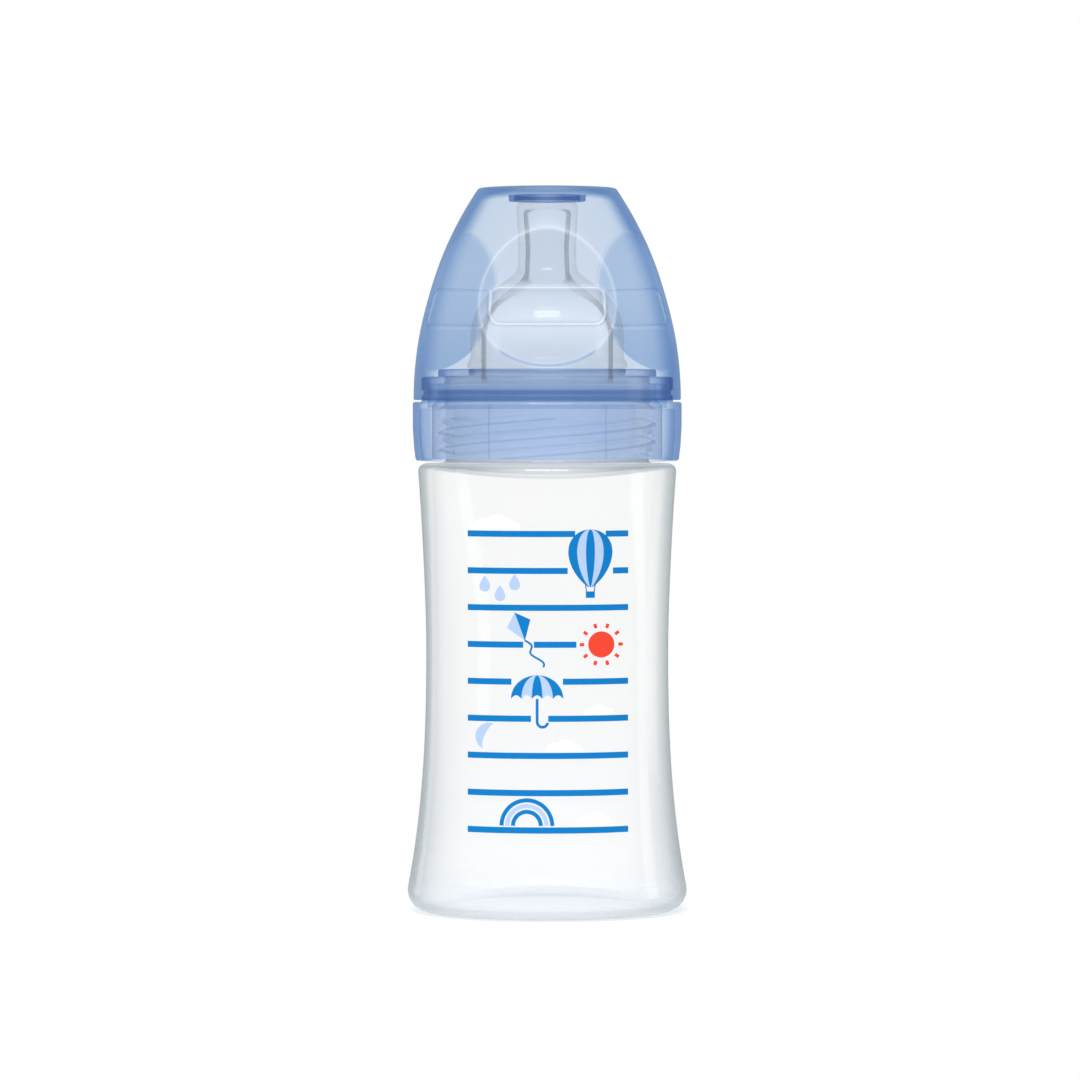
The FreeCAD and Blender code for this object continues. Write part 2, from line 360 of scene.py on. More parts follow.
def dome_rows(ball_r, radii):
    """Rows over a shallow ball whose top is over the foot's middle: z = z0 + sqrt(R^2 - r^2)."""
    return circle_rows(PUSH_UP - BALL_R + np.sqrt(ball_r**2 - radii**2), radii)


def outer_rows():
    """From the middle of the foot up the outside to the top of the neck."""
    base_z = BASE_CORNER + BASE_CORNER * np.sin(BASE_LEAN)
    base_inset = BASE_CORNER * np.cos(BASE_LEAN)
    corner_z = SHOULDER_Z - SHOULDER_CORNER
    shoulder_z = corner_z + SHOULDER_CORNER * np.sin(SHOULDER_LEAN)
    shoulder_inset = SHOULDER_CORNER * np.cos(SHOULDER_LEAN)
    dip_z = SHOULDER_Z - SHOULDER_DIP - 2 * SHOULDER_FADE
    root_z = SHOULDER_Z + NECK_ROOT
    root = np.linspace(-QUARTER, -2 * QUARTER, ROOT_ROWS)
    rim = np.linspace(0, QUARTER, EDGE_ROWS)
    foot_turn = np.linspace(-QUARTER, BASE_LEAN, FOOT_ROWS)
    shoulder_turn = np.linspace(SHOULDER_LEAN, QUARTER, SHOULDER_ROWS)
    return [
        dome_rows(BALL_R, np.linspace(FLOOR_MIDDLE_R, FOOT_R, FLOOR_ROWS)),
        shell_rows(0 * BLEND, base_z, base_inset, FOOT_R, BLEND),
        corner_rows(BASE_CORNER, BASE_CORNER, BASE_LEAN, 0.0, foot_turn),
        shell_rows(np.linspace(base_z, dip_z, WALL_ROWS)[1:]),
        shell_rows(np.arange(dip_z + SHOULDER_STEP, shoulder_z, SHOULDER_STEP)),
        corner_rows(corner_z, SHOULDER_CORNER, SHOULDER_LEAN, 0.0, shoulder_turn),
        shell_rows(SHOULDER_Z + 0 * BLEND, shoulder_z, shoulder_inset, NECK_R + NECK_ROOT, 1 - BLEND),
        circle_rows(root_z + NECK_ROOT * np.sin(root), NECK_R + NECK_ROOT * (1 + np.cos(root))),
        circle_rows(np.arange(root_z + NECK_STEP, RIM_Z - RIM_CORNER, NECK_STEP), NECK_R),
        circle_rows(RIM_Z - RIM_CORNER * (1 - np.sin(rim)), NECK_R - RIM_CORNER * (1 - np.cos(rim))),
    ]


def inner_rows():
    """From the top of the neck down its bore and the inside to the middle of the floor."""
    corner = BASE_CORNER - BODY_WALL
    corner_z = FLOOR_WALL + corner
    base_inset = BODY_WALL + corner * np.cos(BASE_LEAN)
    shoulder_corner = SHOULDER_CORNER - BODY_WALL / 2
    ceiling_z = SHOULDER_Z - BODY_WALL
    top_z = ceiling_z - shoulder_corner
    top_inset = BODY_WALL + shoulder_corner * np.cos(SHOULDER_LEAN)
    mouth_z = ceiling_z + MOUTH_EDGE
    mouth_r = NECK_BORE_R + MOUTH_EDGE
    floor_r = np.sqrt((BALL_R + FLOOR_WALL) ** 2 - (FLOOR_WALL - PUSH_UP + BALL_R) ** 2)
    mouth = np.linspace(0, QUARTER, EDGE_ROWS)
    rim = mouth[::-1]
    top_turn = np.linspace(QUARTER, SHOULDER_LEAN, INNER_SHOULDER_ROWS)
    foot_turn = np.linspace(BASE_LEAN, -QUARTER, INNER_FOOT_ROWS)
    wall_z = np.linspace(top_z, corner_z + corner * np.sin(BASE_LEAN), INNER_WALL_ROWS)[1:-1]
    return [
        circle_rows(RIM_Z - RIM_CORNER * (1 - np.sin(rim)), NECK_BORE_R + RIM_CORNER * (1 - np.cos(rim))),
        circle_rows(np.linspace(RIM_Z - RIM_CORNER, mouth_z, BORE_ROWS)[1:-1], NECK_BORE_R),
        circle_rows(mouth_z - MOUTH_EDGE * np.sin(mouth), mouth_r - MOUTH_EDGE * np.cos(mouth)),
        shell_rows(ceiling_z + 0 * BLEND, top_z, top_inset, mouth_r, BLEND),
        corner_rows(top_z, shoulder_corner, SHOULDER_LEAN, BODY_WALL, top_turn),
        shell_rows(wall_z, inset=BODY_WALL),
        corner_rows(corner_z, corner, BASE_LEAN, BODY_WALL, foot_turn),
        shell_rows(FLOOR_WALL + 0 * BLEND, corner_z, base_inset, floor_r, 1 - BLEND),
        dome_rows(BALL_R + FLOOR_WALL, np.linspace(floor_r, FLOOR_MIDDLE_R, FLOOR_ROWS)),
    ]


# %% Bottle shell
BODY_COLUMNS = 288
NECK_THREAD_DEPTH = 1.1
NECK_THREAD_ZONE = (114.2, 123.6)
NECK_THREAD_PHASE = 2.2
NECK_TINT = 0.12
# Painted shade: dark lines along the lower flanks of the neck's thread.
NECK_FLANK_SHADE_TINT = 0.85
NECK_FLANK_SHADE = 0.75
BORE_FADE_IN = (111.4, 113.4)
BORE_FADE_OUT = (123.5, 126.5)
BORE_HAZE = 1.5
# Painted shade: darker from a curved line under the shoulder upward, with a darker line along that line.
SHOULDER_SHADE = 0.55
SHOULDER_SHADE_LINE = 0.16
# The wall is drawn darker and hazier towards the bottom.
FOOT_FADE = (1.0, 9.0)
FOOT_DARKENING = 0.10
FOOT_HAZE = 0.7
LOW_FADE = (8.0, 62.0)
LOW_DARKENING = 0.10
LOW_HAZE = 0.22


def make_bottle():
    """The rows carried round, with the neck's thread, and marked where it is hazy and where darker."""
    rows = np.concatenate([*outer_rows(), *inner_rows()], axis=1)
    height, outline_height, inset, circle, share = rows[:, :, None]
    turn = around(BODY_COLUMNS)
    on_neck = np.isclose(circle, NECK_R) & (share == 0)
    in_bore = np.isclose(circle, NECK_BORE_R) & (share == 0)
    outside = (np.arange(len(height)) < np.argmax(on_neck))[:, None]
    ridges, _, lower_flank = (
        grid * on_neck for grid in thread_ridges(height, turn, NECK_THREAD_PHASE, NECK_THREAD_ZONE))
    lobed = body_outline(outline_height, turn) - inset
    radius = share * lobed + (1 - share) * circle + NECK_THREAD_DEPTH * ridges
    # Painted shade under the shoulder: its lower edge dips at the front and the back, and a darker line runs
    # along it.
    shoulder_low = SHOULDER_Z - SHOULDER_FADE - SHOULDER_DIP * np.cos(turn) ** 2
    shoulder = smooth_step(shoulder_low, shoulder_low + SHOULDER_FADE, height)
    shoulder_shade_line = np.exp(-(((height - shoulder_low) / SHOULDER_FADE - 1) ** 2))
    foot = 1 - smooth_step(*FOOT_FADE, height)
    low = 1 - smooth_step(*LOW_FADE, height)
    bore = in_bore * smooth_step(*BORE_FADE_IN, height) * (1 - smooth_step(*BORE_FADE_OUT, height))
    # The neck thread's lower flanks take painted shade lines.
    tint = outside + NECK_TINT * on_neck + NECK_FLANK_SHADE_TINT * lower_flank
    darkening = SHOULDER_SHADE * shoulder + SHOULDER_SHADE_LINE * shoulder_shade_line + NECK_FLANK_SHADE * lower_flank
    # Darker towards the bottom.
    darkening = darkening + FOOT_DARKENING * foot + LOW_DARKENING * low
    haze = BORE_HAZE * bore + FOOT_HAZE * foot + LOW_HAZE * low
    return turned_piece("clear_bottle", radius, height, turn, closed_loop=False, outside=tint, ridge=haze,
                        darkening=darkening)


bottle = make_bottle()
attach(bottle, "bottle")
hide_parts("bottle_body")

# %% [markdown]
# ## The teat
# The teat is one silicone wall: a flange that seals on the rim, a groove for the ring's lip, a straight
# base, a dome and a nipple. Its section is drawn as a few straight lines whose corners are turned by arcs,
# and it is a closed loop, because the feeding hole joins the outside of the tip to the inside. The inner
# wall shows as an even dark line, so its place in the turn towards the edge is set from the radius.

# %% Teat
teat_low, teat_high = (np.array(corner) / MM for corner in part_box("teat"))
FLANGE_LOW_Z = teat_low[2]
TIP_Z = teat_high[2]
FLANGE_R = teat_high[0]
FLANGE_THICK = 1.8
FLANGE_HIGH_Z = FLANGE_LOW_Z + FLANGE_THICK
TEAT_BASE_R = 19.15
TEAT_BORE_R = 16.4
TEAT_BEAD_R = 20.0
BEAD_LOW_Z = 135.2
BEAD_HEIGHT = 1.2
DOME_CORNER_Z = 150.6
NIPPLE_ROOT_Z = 159.2
NIPPLE_ROOT_R = 7.4
NIPPLE_WAIST_Z = 165.5
NIPPLE_WAIST_R = 7.1
NIPPLE_TIP_R = 7.85
NIPPLE_WALL = 1.8
TIP_WALL = 2.2
FEED_HOLE_R = 0.4
INNER_DROP = 1.4
TEAT_COLUMNS = 144
TEAT_STEP = 0.6
TEAT_ARC_DEGREES = 6.0
# Painted shade: the inner wall's even dark line, drawn in its edge tint.
WALL_SHADE_LINE = 1.1
WALL_SHADE_TURN = 0.5


def make_teat():
    """The outside from the flange to the tip, the feeding hole, and the inside back down, as one loop."""
    section = rounded_profile([
        (TEAT_BORE_R, FLANGE_LOW_Z, 0.6),
        (FLANGE_R, FLANGE_LOW_Z, 0.4),
        (FLANGE_R, FLANGE_HIGH_Z, 0.6),
        (TEAT_BASE_R, FLANGE_HIGH_Z, 0.3),
        (TEAT_BASE_R, BEAD_LOW_Z, 0.1),
        (TEAT_BEAD_R, BEAD_LOW_Z, 0.4),
        (TEAT_BEAD_R, BEAD_LOW_Z + BEAD_HEIGHT, 0.4),
        (TEAT_BASE_R, BEAD_LOW_Z + 2 * BEAD_HEIGHT, 1.0),
        (TEAT_BASE_R, DOME_CORNER_Z, 15.0),
        (NIPPLE_ROOT_R, NIPPLE_ROOT_Z, 3.0),
        (NIPPLE_WAIST_R, NIPPLE_WAIST_Z, 30.0),
        (NIPPLE_TIP_R, TIP_Z, 2.6),
        (FEED_HOLE_R, TIP_Z, 0.25),
        (FEED_HOLE_R, TIP_Z - TIP_WALL, 0.25),
        (NIPPLE_TIP_R - NIPPLE_WALL, TIP_Z - TIP_WALL, 1.6),
        (NIPPLE_WAIST_R - NIPPLE_WALL, NIPPLE_WAIST_Z, 30.0),
        (NIPPLE_ROOT_R - NIPPLE_WALL, NIPPLE_ROOT_Z - INNER_DROP, 4.5),
        (TEAT_BORE_R, DOME_CORNER_Z - INNER_DROP, 13.0),
    ], TEAT_ARC_DEGREES)
    profile, height = spaced(section, TEAT_STEP).T[:, :, None]
    radius = np.repeat(profile, TEAT_COLUMNS, axis=1)
    outside = (np.arange(len(height)) < np.argmax(height))[:, None]
    # The inner wall's dark line is painted shade of the same width at every radius.
    line_start = np.clip(1 - WALL_SHADE_LINE / profile, 0, 1)
    turned_there = 1 - np.sqrt(1 - line_start**2)
    darkening = np.where(outside | (line_start == 0), 0.0, WALL_SHADE_TURN - turned_there)
    return turned_piece("silicone_teat", radius, height, around(TEAT_COLUMNS), closed_loop=True,
                        outside=outside, darkening=darkening)


teat = make_teat()
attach(teat, "teat")
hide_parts("teat")

# %% [markdown]
# ## The screw ring
# The ring has two walls: a smooth skirt outside and a threaded sleeve inside, with one space between them
# that is open below. Its thread shows through the skirt as fine slanting lines: painted shade where the
# ridges' lower flanks turn away and a painted highlight along their upper flanks, so the ridges have to be
# there on the sleeve's inner wall. The mould of the sleeve leaves six fine upright lines, drawn with painted
# shade the same way, and the collar has a band of painted shade up through its snap groove.

# %% Screw ring
ring_low, ring_high = (np.array(corner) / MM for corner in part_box("screw_ring"))
RING_BOTTOM_Z = ring_low[2]
RING_TOP_Z = ring_high[2]
BOX_GAP = 0.01
RING_R = ring_high[0] - BOX_GAP
RING_FOOT_R = 32.85
RING_WALL = 1.6
LEDGE_Z = 126.75
WEB_Z = LEDGE_Z - RING_WALL
COLLAR_R = 31.4
COLLAR_INNER_R = 29.9
COLLAR_TOP_Z = 133.0
COLLAR_WEB_Z = COLLAR_TOP_Z - RING_WALL
GROOVE_R = 30.9
GROOVE_LOW_Z = 128.2
GROOVE_HIGH_Z = 129.8
GROOVE_SLOPE = 0.3
CROWN_R = 27.25
LIP_R = 19.6
LIP_UNDER_Z = 133.3
SKIRT_INNER_R = RING_R - RING_WALL
TAPER_Z = RING_BOTTOM_Z + 6.0
SLEEVE_R = 28.6
SLEEVE_LOW_Z = RING_BOTTOM_Z + 0.5
THREAD_ROOT_R = 27.2
SEAT_BORE_R = 25.7
SEAT_OUTER_R = SEAT_BORE_R + RING_WALL
SEAT_STEP_Z = 126.0
THREAD_TOP_Z = SEAT_STEP_Z - 1.0
SLEEVE_TOP_Z = SEAT_STEP_Z + 1.5
RING_THREAD_DEPTH = 1.1
RING_THREAD_ZONE = (113.4, 123.4)
RING_THREAD_PHASE = NECK_THREAD_PHASE - THREAD_PITCH / 2
RING_COLUMNS = 300
RING_STEP = 2.0
RING_ARC_DEGREES = 22.5
THREAD_STEP = 0.16
WITNESS_LINES = 6
WITNESS_HEIGHT = 0.12
WITNESS_WIDTH = np.radians(0.7)
# Painted shade: dark witness lines, a darker collar band up through the snap groove and dark lines on the
# thread's lower flanks; the sleeve's edges get less shade, and the upper flanks a painted highlight.
WITNESS_SHADE = 1.4
COLLAR_SHADE = 0.75
SLEEVE_TINT = 0.7
SLEEVE_LESS_SHADE = -0.6
SEAT_TINT_Z = 131.0
FLANK_SHADE_TINT = 0.9
FLANK_SHADE = 1.2
FLANK_GLINT = 0.5


def ring_section():
    """One closed section: crown, collar with its snap groove, ledge, skirt, sleeve, seat and lip."""
    section = rounded_profile([
        (LIP_R, RING_TOP_Z, 0.5),
        (CROWN_R, RING_TOP_Z, 0.7),
        (CROWN_R, COLLAR_TOP_Z, 0.3),
        (COLLAR_R, COLLAR_TOP_Z, 0.6),
        (COLLAR_R, GROOVE_HIGH_Z, 0.2),
        (GROOVE_R, GROOVE_HIGH_Z - GROOVE_SLOPE, 0.2),
        (GROOVE_R, GROOVE_LOW_Z + GROOVE_SLOPE, 0.2),
        (COLLAR_R, GROOVE_LOW_Z, 0.2),
        (COLLAR_R, LEDGE_Z, 0.3),
        (RING_R, LEDGE_Z, 0.6),
        (RING_R, TAPER_Z, 40.0),
        (RING_FOOT_R, RING_BOTTOM_Z, 0.8),
        (RING_FOOT_R - RING_WALL, RING_BOTTOM_Z, 0.5),
        (SKIRT_INNER_R, TAPER_Z, 20.0),
        (SKIRT_INNER_R, WEB_Z, 0.8),
        (COLLAR_INNER_R, WEB_Z, 0.5),
        (COLLAR_INNER_R, COLLAR_WEB_Z, 0.5),
        (SEAT_OUTER_R, COLLAR_WEB_Z, 0.5),
        (SEAT_OUTER_R, SLEEVE_TOP_Z, 0.5),
        (SLEEVE_R, SEAT_STEP_Z, 0.5),
        (SLEEVE_R, SLEEVE_LOW_Z, 0.4),
        (THREAD_ROOT_R, SLEEVE_LOW_Z, 0.4),
        (THREAD_ROOT_R, THREAD_TOP_Z, 0.4),
        (SEAT_BORE_R, SEAT_STEP_Z, 0.4),
        (SEAT_BORE_R, LIP_UNDER_Z, 0.3),
        (LIP_R, LIP_UNDER_Z, 0.3),
    ], RING_ARC_DEGREES)
    return spaced(section, RING_STEP, THREAD_STEP, THREAD_ROOT_R)


def make_ring():
    """The section carried round, with the thread and witness lines, its tints, painted shade and highlights.
    """
    profile, height = ring_section().T[:, :, None]
    turn = around(RING_COLUMNS)
    outside = (np.arange(len(height)) < np.argmin(height))[:, None]
    on_thread = (np.abs(profile - THREAD_ROOT_R) < SAME_RADIUS) & (height < THREAD_TOP_Z)
    on_sleeve = (np.abs(profile - SLEEVE_R) < SAME_RADIUS) & (height < SEAT_STEP_Z)
    on_seat = (profile < THREAD_ROOT_R + SAME_RADIUS) & (height > THREAD_TOP_Z) & (height < SEAT_TINT_Z)
    on_collar = outside & (height > LEDGE_Z) & (height < GROOVE_HIGH_Z)
    ridges, upper_flank, lower_flank = (
        grid * on_thread for grid in thread_ridges(height, turn, RING_THREAD_PHASE, RING_THREAD_ZONE))
    line_turn = (turn * WITNESS_LINES / (2 * np.pi)) % 1 - 0.5
    lines = on_sleeve * np.exp(-((line_turn * 2 * np.pi / WITNESS_LINES / WITNESS_WIDTH) ** 2))
    radius = profile - RING_THREAD_DEPTH * ridges + WITNESS_HEIGHT * lines
    # Painted shade on the lower flanks, the witness lines and the collar; a painted highlight on the upper
    # flanks.
    tint = outside + SLEEVE_TINT * (on_sleeve | on_seat) + FLANK_SHADE_TINT * lower_flank
    darkening = COLLAR_SHADE * on_collar + SLEEVE_LESS_SHADE * (on_sleeve | on_thread | on_seat)
    darkening = darkening + FLANK_SHADE * lower_flank + WITNESS_SHADE * lines
    return turned_piece("blue_screw_ring", radius, height, turn, closed_loop=True, outside=tint,
                        ridge=FLANK_GLINT * upper_flank, darkening=darkening)


ring = make_ring()
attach(ring, "ring")
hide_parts("screw_ring")

# %% [markdown]
# ## The cap
# The cap is a dome whose side is one long arc, with three thumb scoops. A scoop is a level cylinder that
# hollows the dome, so in any direction the wall stands at the smaller of two distances: the dome's and the
# cylinder's. A soft minimum of the two gives the scoop's edge the small radius that a moulded edge has. A
# Boolean cut could do the same, but it leaves long thin triangles whose normals sparkle in clear plastic.
# Each scoop carries a fine raised frame, so the grid is finer there.

# %% Cap profile
cap_low, cap_high = (np.array(corner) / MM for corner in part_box("protective_cap"))
CAP_LOW_Z = cap_low[2]
CAP_TOP_Z = cap_high[2]
CAP_R = cap_high[0]
CAP_SPRING_Z = 127.0
CAP_PROFILE_R = 94.6
CAP_WALL = 1.6
CAP_CEILING_Z = CAP_TOP_Z - CAP_WALL
CAP_TOP_CORNER = 1.0
CAP_RIM_CORNER = 0.4
TOP_MIDDLE_R = 1.0
SEAL_R = 9.6
SEAL_INNER_R = 8.2
SEAL_Z = 176.75
SEAL_CORNER = 0.3
SCOOP_ROWS = (131.5, 174.0)
PANEL_HALF_WIDTH = 14.0
PANEL_HALF_HEIGHT = 4.45
PANEL_Z = 150.2
PANEL_MARGIN = 1.2
TOP_ROWS = 14
TOP_CORNER_ROWS = 8
RIM_ROWS = 5
OUTER_STEPS = (0.8, 0.45, 0.3, 0.4, 0.8)
INNER_STEPS = (0.4, 1.6)
FINE_TURN = np.radians(37.0)
FINE_COLUMNS = 104
COARSE_COLUMNS = 18


def cap_directions():
    """Directions from the front, close together across each scoop and further apart between the scoops."""
    fine = np.linspace(-FINE_TURN, FINE_TURN, FINE_COLUMNS, endpoint=False)
    coarse = np.linspace(FINE_TURN, THIRD - FINE_TURN, COARSE_COLUMNS, endpoint=False)
    one_third = np.concatenate([fine, coarse])
    return np.concatenate([one_third + i * THIRD for i in range(LOBES)])[None, :]


def dome_profile(inset, stops, steps):
    """Radius and height along the dome's arc, drawn in by an inset: from stop to stop, a step apart."""
    arc_r = CAP_PROFILE_R - inset
    angles = [np.arcsin((stop - CAP_SPRING_Z) / arc_r) for stop in stops]
    spans = [np.linspace(start, end, int(abs(end - start) * arc_r / step) + 2)[1:]
             for start, end, step in zip(angles, angles[1:], steps)]
    angle = np.concatenate([angles[:1], *spans])
    across = CAP_R - CAP_PROFILE_R + arc_r * np.cos(angle)
    return np.column_stack([across, CAP_SPRING_Z + arc_r * np.sin(angle)])


def top_corner(inset):
    """The arc from the dome to the flat top: its centre is a corner radius below the top and in."""
    arc_r = CAP_PROFILE_R - inset - CAP_TOP_CORNER
    centre_z = CAP_TOP_Z - inset - CAP_TOP_CORNER
    lean = np.arcsin((centre_z - CAP_SPRING_Z) / arc_r)
    centre_r = CAP_R - CAP_PROFILE_R + arc_r * np.cos(lean)
    angle = np.linspace(lean, QUARTER, TOP_CORNER_ROWS)
    across = centre_r + CAP_TOP_CORNER * np.cos(angle)
    return np.column_stack([across, centre_z + CAP_TOP_CORNER * np.sin(angle)])


def cap_profile():
    """Rows from the middle of the top down the outside, round the rim, up the inside and round the seal."""
    outer_corner = top_corner(0.0)
    inner_corner = top_corner(CAP_WALL)
    scoop_low, scoop_high = SCOOP_ROWS
    panel_reach = PANEL_HALF_HEIGHT + PANEL_MARGIN
    panel_high, panel_low = PANEL_Z + panel_reach, PANEL_Z - panel_reach
    rim_z = CAP_LOW_Z + CAP_RIM_CORNER
    outer_stops = (outer_corner[0, 1], scoop_high, panel_high, panel_low, scoop_low, rim_z)
    outer = dome_profile(0.0, outer_stops, OUTER_STEPS)
    inner = dome_profile(CAP_WALL, (rim_z, scoop_low, inner_corner[0, 1]), INNER_STEPS)
    turn = np.linspace(0, QUARTER, RIM_ROWS)[1:]
    curl, rim_fall = CAP_RIM_CORNER * (1 - np.cos(turn)), rim_z - CAP_RIM_CORNER * np.sin(turn)
    top_r = np.linspace(TOP_MIDDLE_R, outer_corner[-1, 0], TOP_ROWS)
    top = np.column_stack([top_r, np.full(TOP_ROWS, CAP_TOP_Z)])
    ceiling = rounded_profile([
        (inner_corner[-1, 0], CAP_CEILING_Z, 0),
        (SEAL_R, CAP_CEILING_Z, SEAL_CORNER),
        (SEAL_R, SEAL_Z, SEAL_CORNER),
        (SEAL_INNER_R, SEAL_Z, SEAL_CORNER),
        (SEAL_INNER_R, CAP_CEILING_Z, SEAL_CORNER),
        (TOP_MIDDLE_R, CAP_CEILING_Z, 0),
    ])
    return np.concatenate([
        top[:-1],
        outer_corner[::-1],
        outer[1:],
        np.column_stack([outer[-1, 0] - curl, rim_fall]),
        np.column_stack([inner[0, 0] + curl, rim_fall])[::-1],
        inner,
        inner_corner[1:-1],
        ceiling,
    ])


# %% Cap shell
SCOOP_R = 48.5
SCOOP_AXIS_OUT = 71.7
SCOOP_AXIS_Z = 164.7
SCOOP_EDGE = 0.5
SCOOP_REACH = 6.0
SCOOP_FADE = (-0.1, 0.2)
# Painted shade over the scoops and along the lower part of each scoop's rim, and a painted highlight along
# its upper part and its raised frame.
SCOOP_SHADE = 0.07
RIM_SHADE_TO_GLINT_Z = (138.0, 142.0)
RIM_GLINT_WIDTH = 0.20
RIM_GLINT = 0.7
RIM_SHADE_WIDTH = 0.35
RIM_SHADE = 0.60
BEAD_RAISED = 0.28
BEAD_Z = 129.0
BEAD_FADE = (0.4, 0.8)
SEAL_GAP = 0.1
# The seal ring and the top of the cap are drawn darker.
SEAL_DARKENING = 0.54
TOP_FADE = (177.2, 179.4)
TOP_DARKENING = 0.30
PANEL_CORNER = 2.5
PANEL_LINE = 0.32
PANEL_RAISED = 0.35


def panel_frame(aside, height):
    """A raised line along a rounded rectangle: exp(-(d / line)^2), with d the distance from its edge."""
    over_x = np.abs(aside) - (PANEL_HALF_WIDTH - PANEL_CORNER)
    over_z = np.abs(height - PANEL_Z) - (PANEL_HALF_HEIGHT - PANEL_CORNER)
    beyond = np.hypot(np.maximum(over_x, 0), np.maximum(over_z, 0))
    distance = beyond + np.minimum(np.maximum(over_x, over_z), 0) - PANEL_CORNER
    return np.exp(-((distance / PANEL_LINE) ** 2))


def make_cap():
    """Soft minimum of the dome and the three scoops: (a + b - sqrt((a - b)^2 + k^2)) / 2."""
    profile, height = cap_profile().T[:, :, None]
    turn = cap_directions()
    aside = (turn + THIRD / 2) % THIRD - THIRD / 2
    outside = (np.arange(len(height)) <= np.argmin(height))[:, None]
    scoop_r = SCOOP_R + np.where(outside, 0.0, CAP_WALL)
    bead = (1 - smooth_step(*BEAD_FADE, np.abs(height - BEAD_Z))) * ~outside
    scoop = (SCOOP_AXIS_OUT - np.sqrt(scoop_r**2 - (SCOOP_AXIS_Z - height) ** 2)) / np.cos(aside)
    dome = np.broadcast_to(profile - BEAD_RAISED * bead, scoop.shape)
    depth = dome - scoop
    lower_of_both = (dome + scoop - np.sqrt(depth**2 + SCOOP_EDGE**2)) / 2
    in_scoop = smooth_step(*SCOOP_FADE, depth) * outside
    frame_line = panel_frame(scoop * np.sin(aside), height) * in_scoop
    radius = np.where(depth < -SCOOP_REACH, dome, lower_of_both) + PANEL_RAISED * frame_line
    # Each scoop's rim: painted shade along its lower part, a painted highlight along its upper part.
    rim_glint_line, rim_shade_line = (np.exp(-((depth / width) ** 2)) * outside for width in (RIM_GLINT_WIDTH, RIM_SHADE_WIDTH))
    upper_rim = smooth_step(*RIM_SHADE_TO_GLINT_Z, height)
    on_seal = ~outside & (profile < SEAL_R + SEAL_GAP) & (height < CAP_CEILING_Z - SEAL_GAP)
    # Painted shade over the scoops and along their lower rims; the seal and the top are drawn darker.
    darkening = SCOOP_SHADE * in_scoop + RIM_SHADE * rim_shade_line * (1 - upper_rim) + SEAL_DARKENING * on_seal
    darkening = darkening + TOP_DARKENING * smooth_step(*TOP_FADE, height) * outside
    glint = np.maximum(frame_line, RIM_GLINT * rim_glint_line * upper_rim)
    return turned_piece("blue_cap", radius, height, turn, closed_loop=False, outside=outside | on_seal,
                        ridge=glint, darkening=darkening)


cap = make_cap()
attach(cap, "cap")
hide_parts("protective_cap")

# %% [markdown]
# ## Shader maths as sums
# A node tree is easier to read as a formula. This class wraps one socket, so that adding or multiplying two
# values adds the Math node for it, and one method adds any other node with its settings and its inputs.

# %% A socket that can be added and multiplied
class Value:
    """One output socket of a node tree. Sums and products of values become Math nodes."""

    def __init__(self, tree, socket):
        self.tree = tree
        self.socket = socket

    def node(self, kind, settings=None, output=0, **inputs):
        """Adds any node: its settings first, then its inputs by name. Gives one of its outputs."""
        made = self.tree.nodes.new(kind)
        for name, setting in (settings or {}).items():
            setattr(made, name, setting)
        for name, given in inputs.items():
            socket = self.find(made.inputs, name)
            if isinstance(given, Value):
                self.tree.links.new(given.socket, socket)
            else:
                socket.default_value = given
        return Value(self.tree, self.find(made.outputs, output))

    @staticmethod
    def find(sockets, name):
        """A socket by number (3 or in_3), by identifier (A_Color), or by name with _ for each space."""
        if isinstance(name, int) or name.startswith("in_"):
            return sockets[int(str(name).removeprefix("in_"))]
        by_identifier = {socket.identifier: socket for socket in sockets}
        return by_identifier.get(name) or sockets[name.replace("_", " ")]

    def math(self, operation, *others):
        """One Math node, with this value first and the others after it."""
        values = {f"in_{i}": value for i, value in enumerate((self, *others))}
        return self.node("ShaderNodeMath", {"operation": operation}, **values)

    def __add__(self, other):
        return self.math("ADD", other)

    def __mul__(self, other):
        return self.math("MULTIPLY", other)

    def __sub__(self, other):
        return self.math("SUBTRACT", other)

    def __rsub__(self, other):
        return self.node("ShaderNodeMath", {"operation": "SUBTRACT"}, in_0=other, in_1=self)

    def __pow__(self, other):
        return self.math("POWER", other)

    __radd__ = __add__
    __rmul__ = __mul__


# %% Parts of a material
WHITE = (1.0, 1.0, 1.0, 1.0)


def new_material(name):
    """An empty material with its output node, and the piece's own coordinates to start from."""
    material = bpy.data.materials.new(name)
    material.use_nodes = True
    tree = material.node_tree
    tree.nodes.clear()
    output = tree.nodes.new("ShaderNodeOutputMaterial")
    place = Value(tree, tree.nodes.new("ShaderNodeTexCoord").outputs["Object"])
    return material, output, place


def noise(place, scale, detail, roughness):
    """A soft noise from 0 to 1 over the piece's own coordinates."""
    return place.node("ShaderNodeTexNoise", {"noise_dimensions": "3D"}, output="Fac", Vector=place,
                      Scale=scale, Detail=detail, Roughness=roughness)


def s_curve(value, low, high):
    """0 below low, 1 above high, and an S-curve between, as smooth_step has it."""
    return value.node("ShaderNodeMapRange", {"interpolation_type": "SMOOTHSTEP"}, Value=value,
                      From_Min=low, From_Max=high)


def film(place, colour):
    """A surface that lets light straight through, and takes what its colour lacks."""
    return place.node("ShaderNodeBsdfTransparent", Color=(*colour, 1.0))


def matt(place, colour, **inputs):
    """A surface that scatters its colour evenly."""
    return place.node("ShaderNodeBsdfDiffuse", Color=(*colour, 1.0), **inputs)


def blended(share, first, second):
    """Two shaders in one surface: the second has the share, and the first the rest."""
    return first.node("ShaderNodeMixShader", in_0=share, in_1=first, in_2=second)


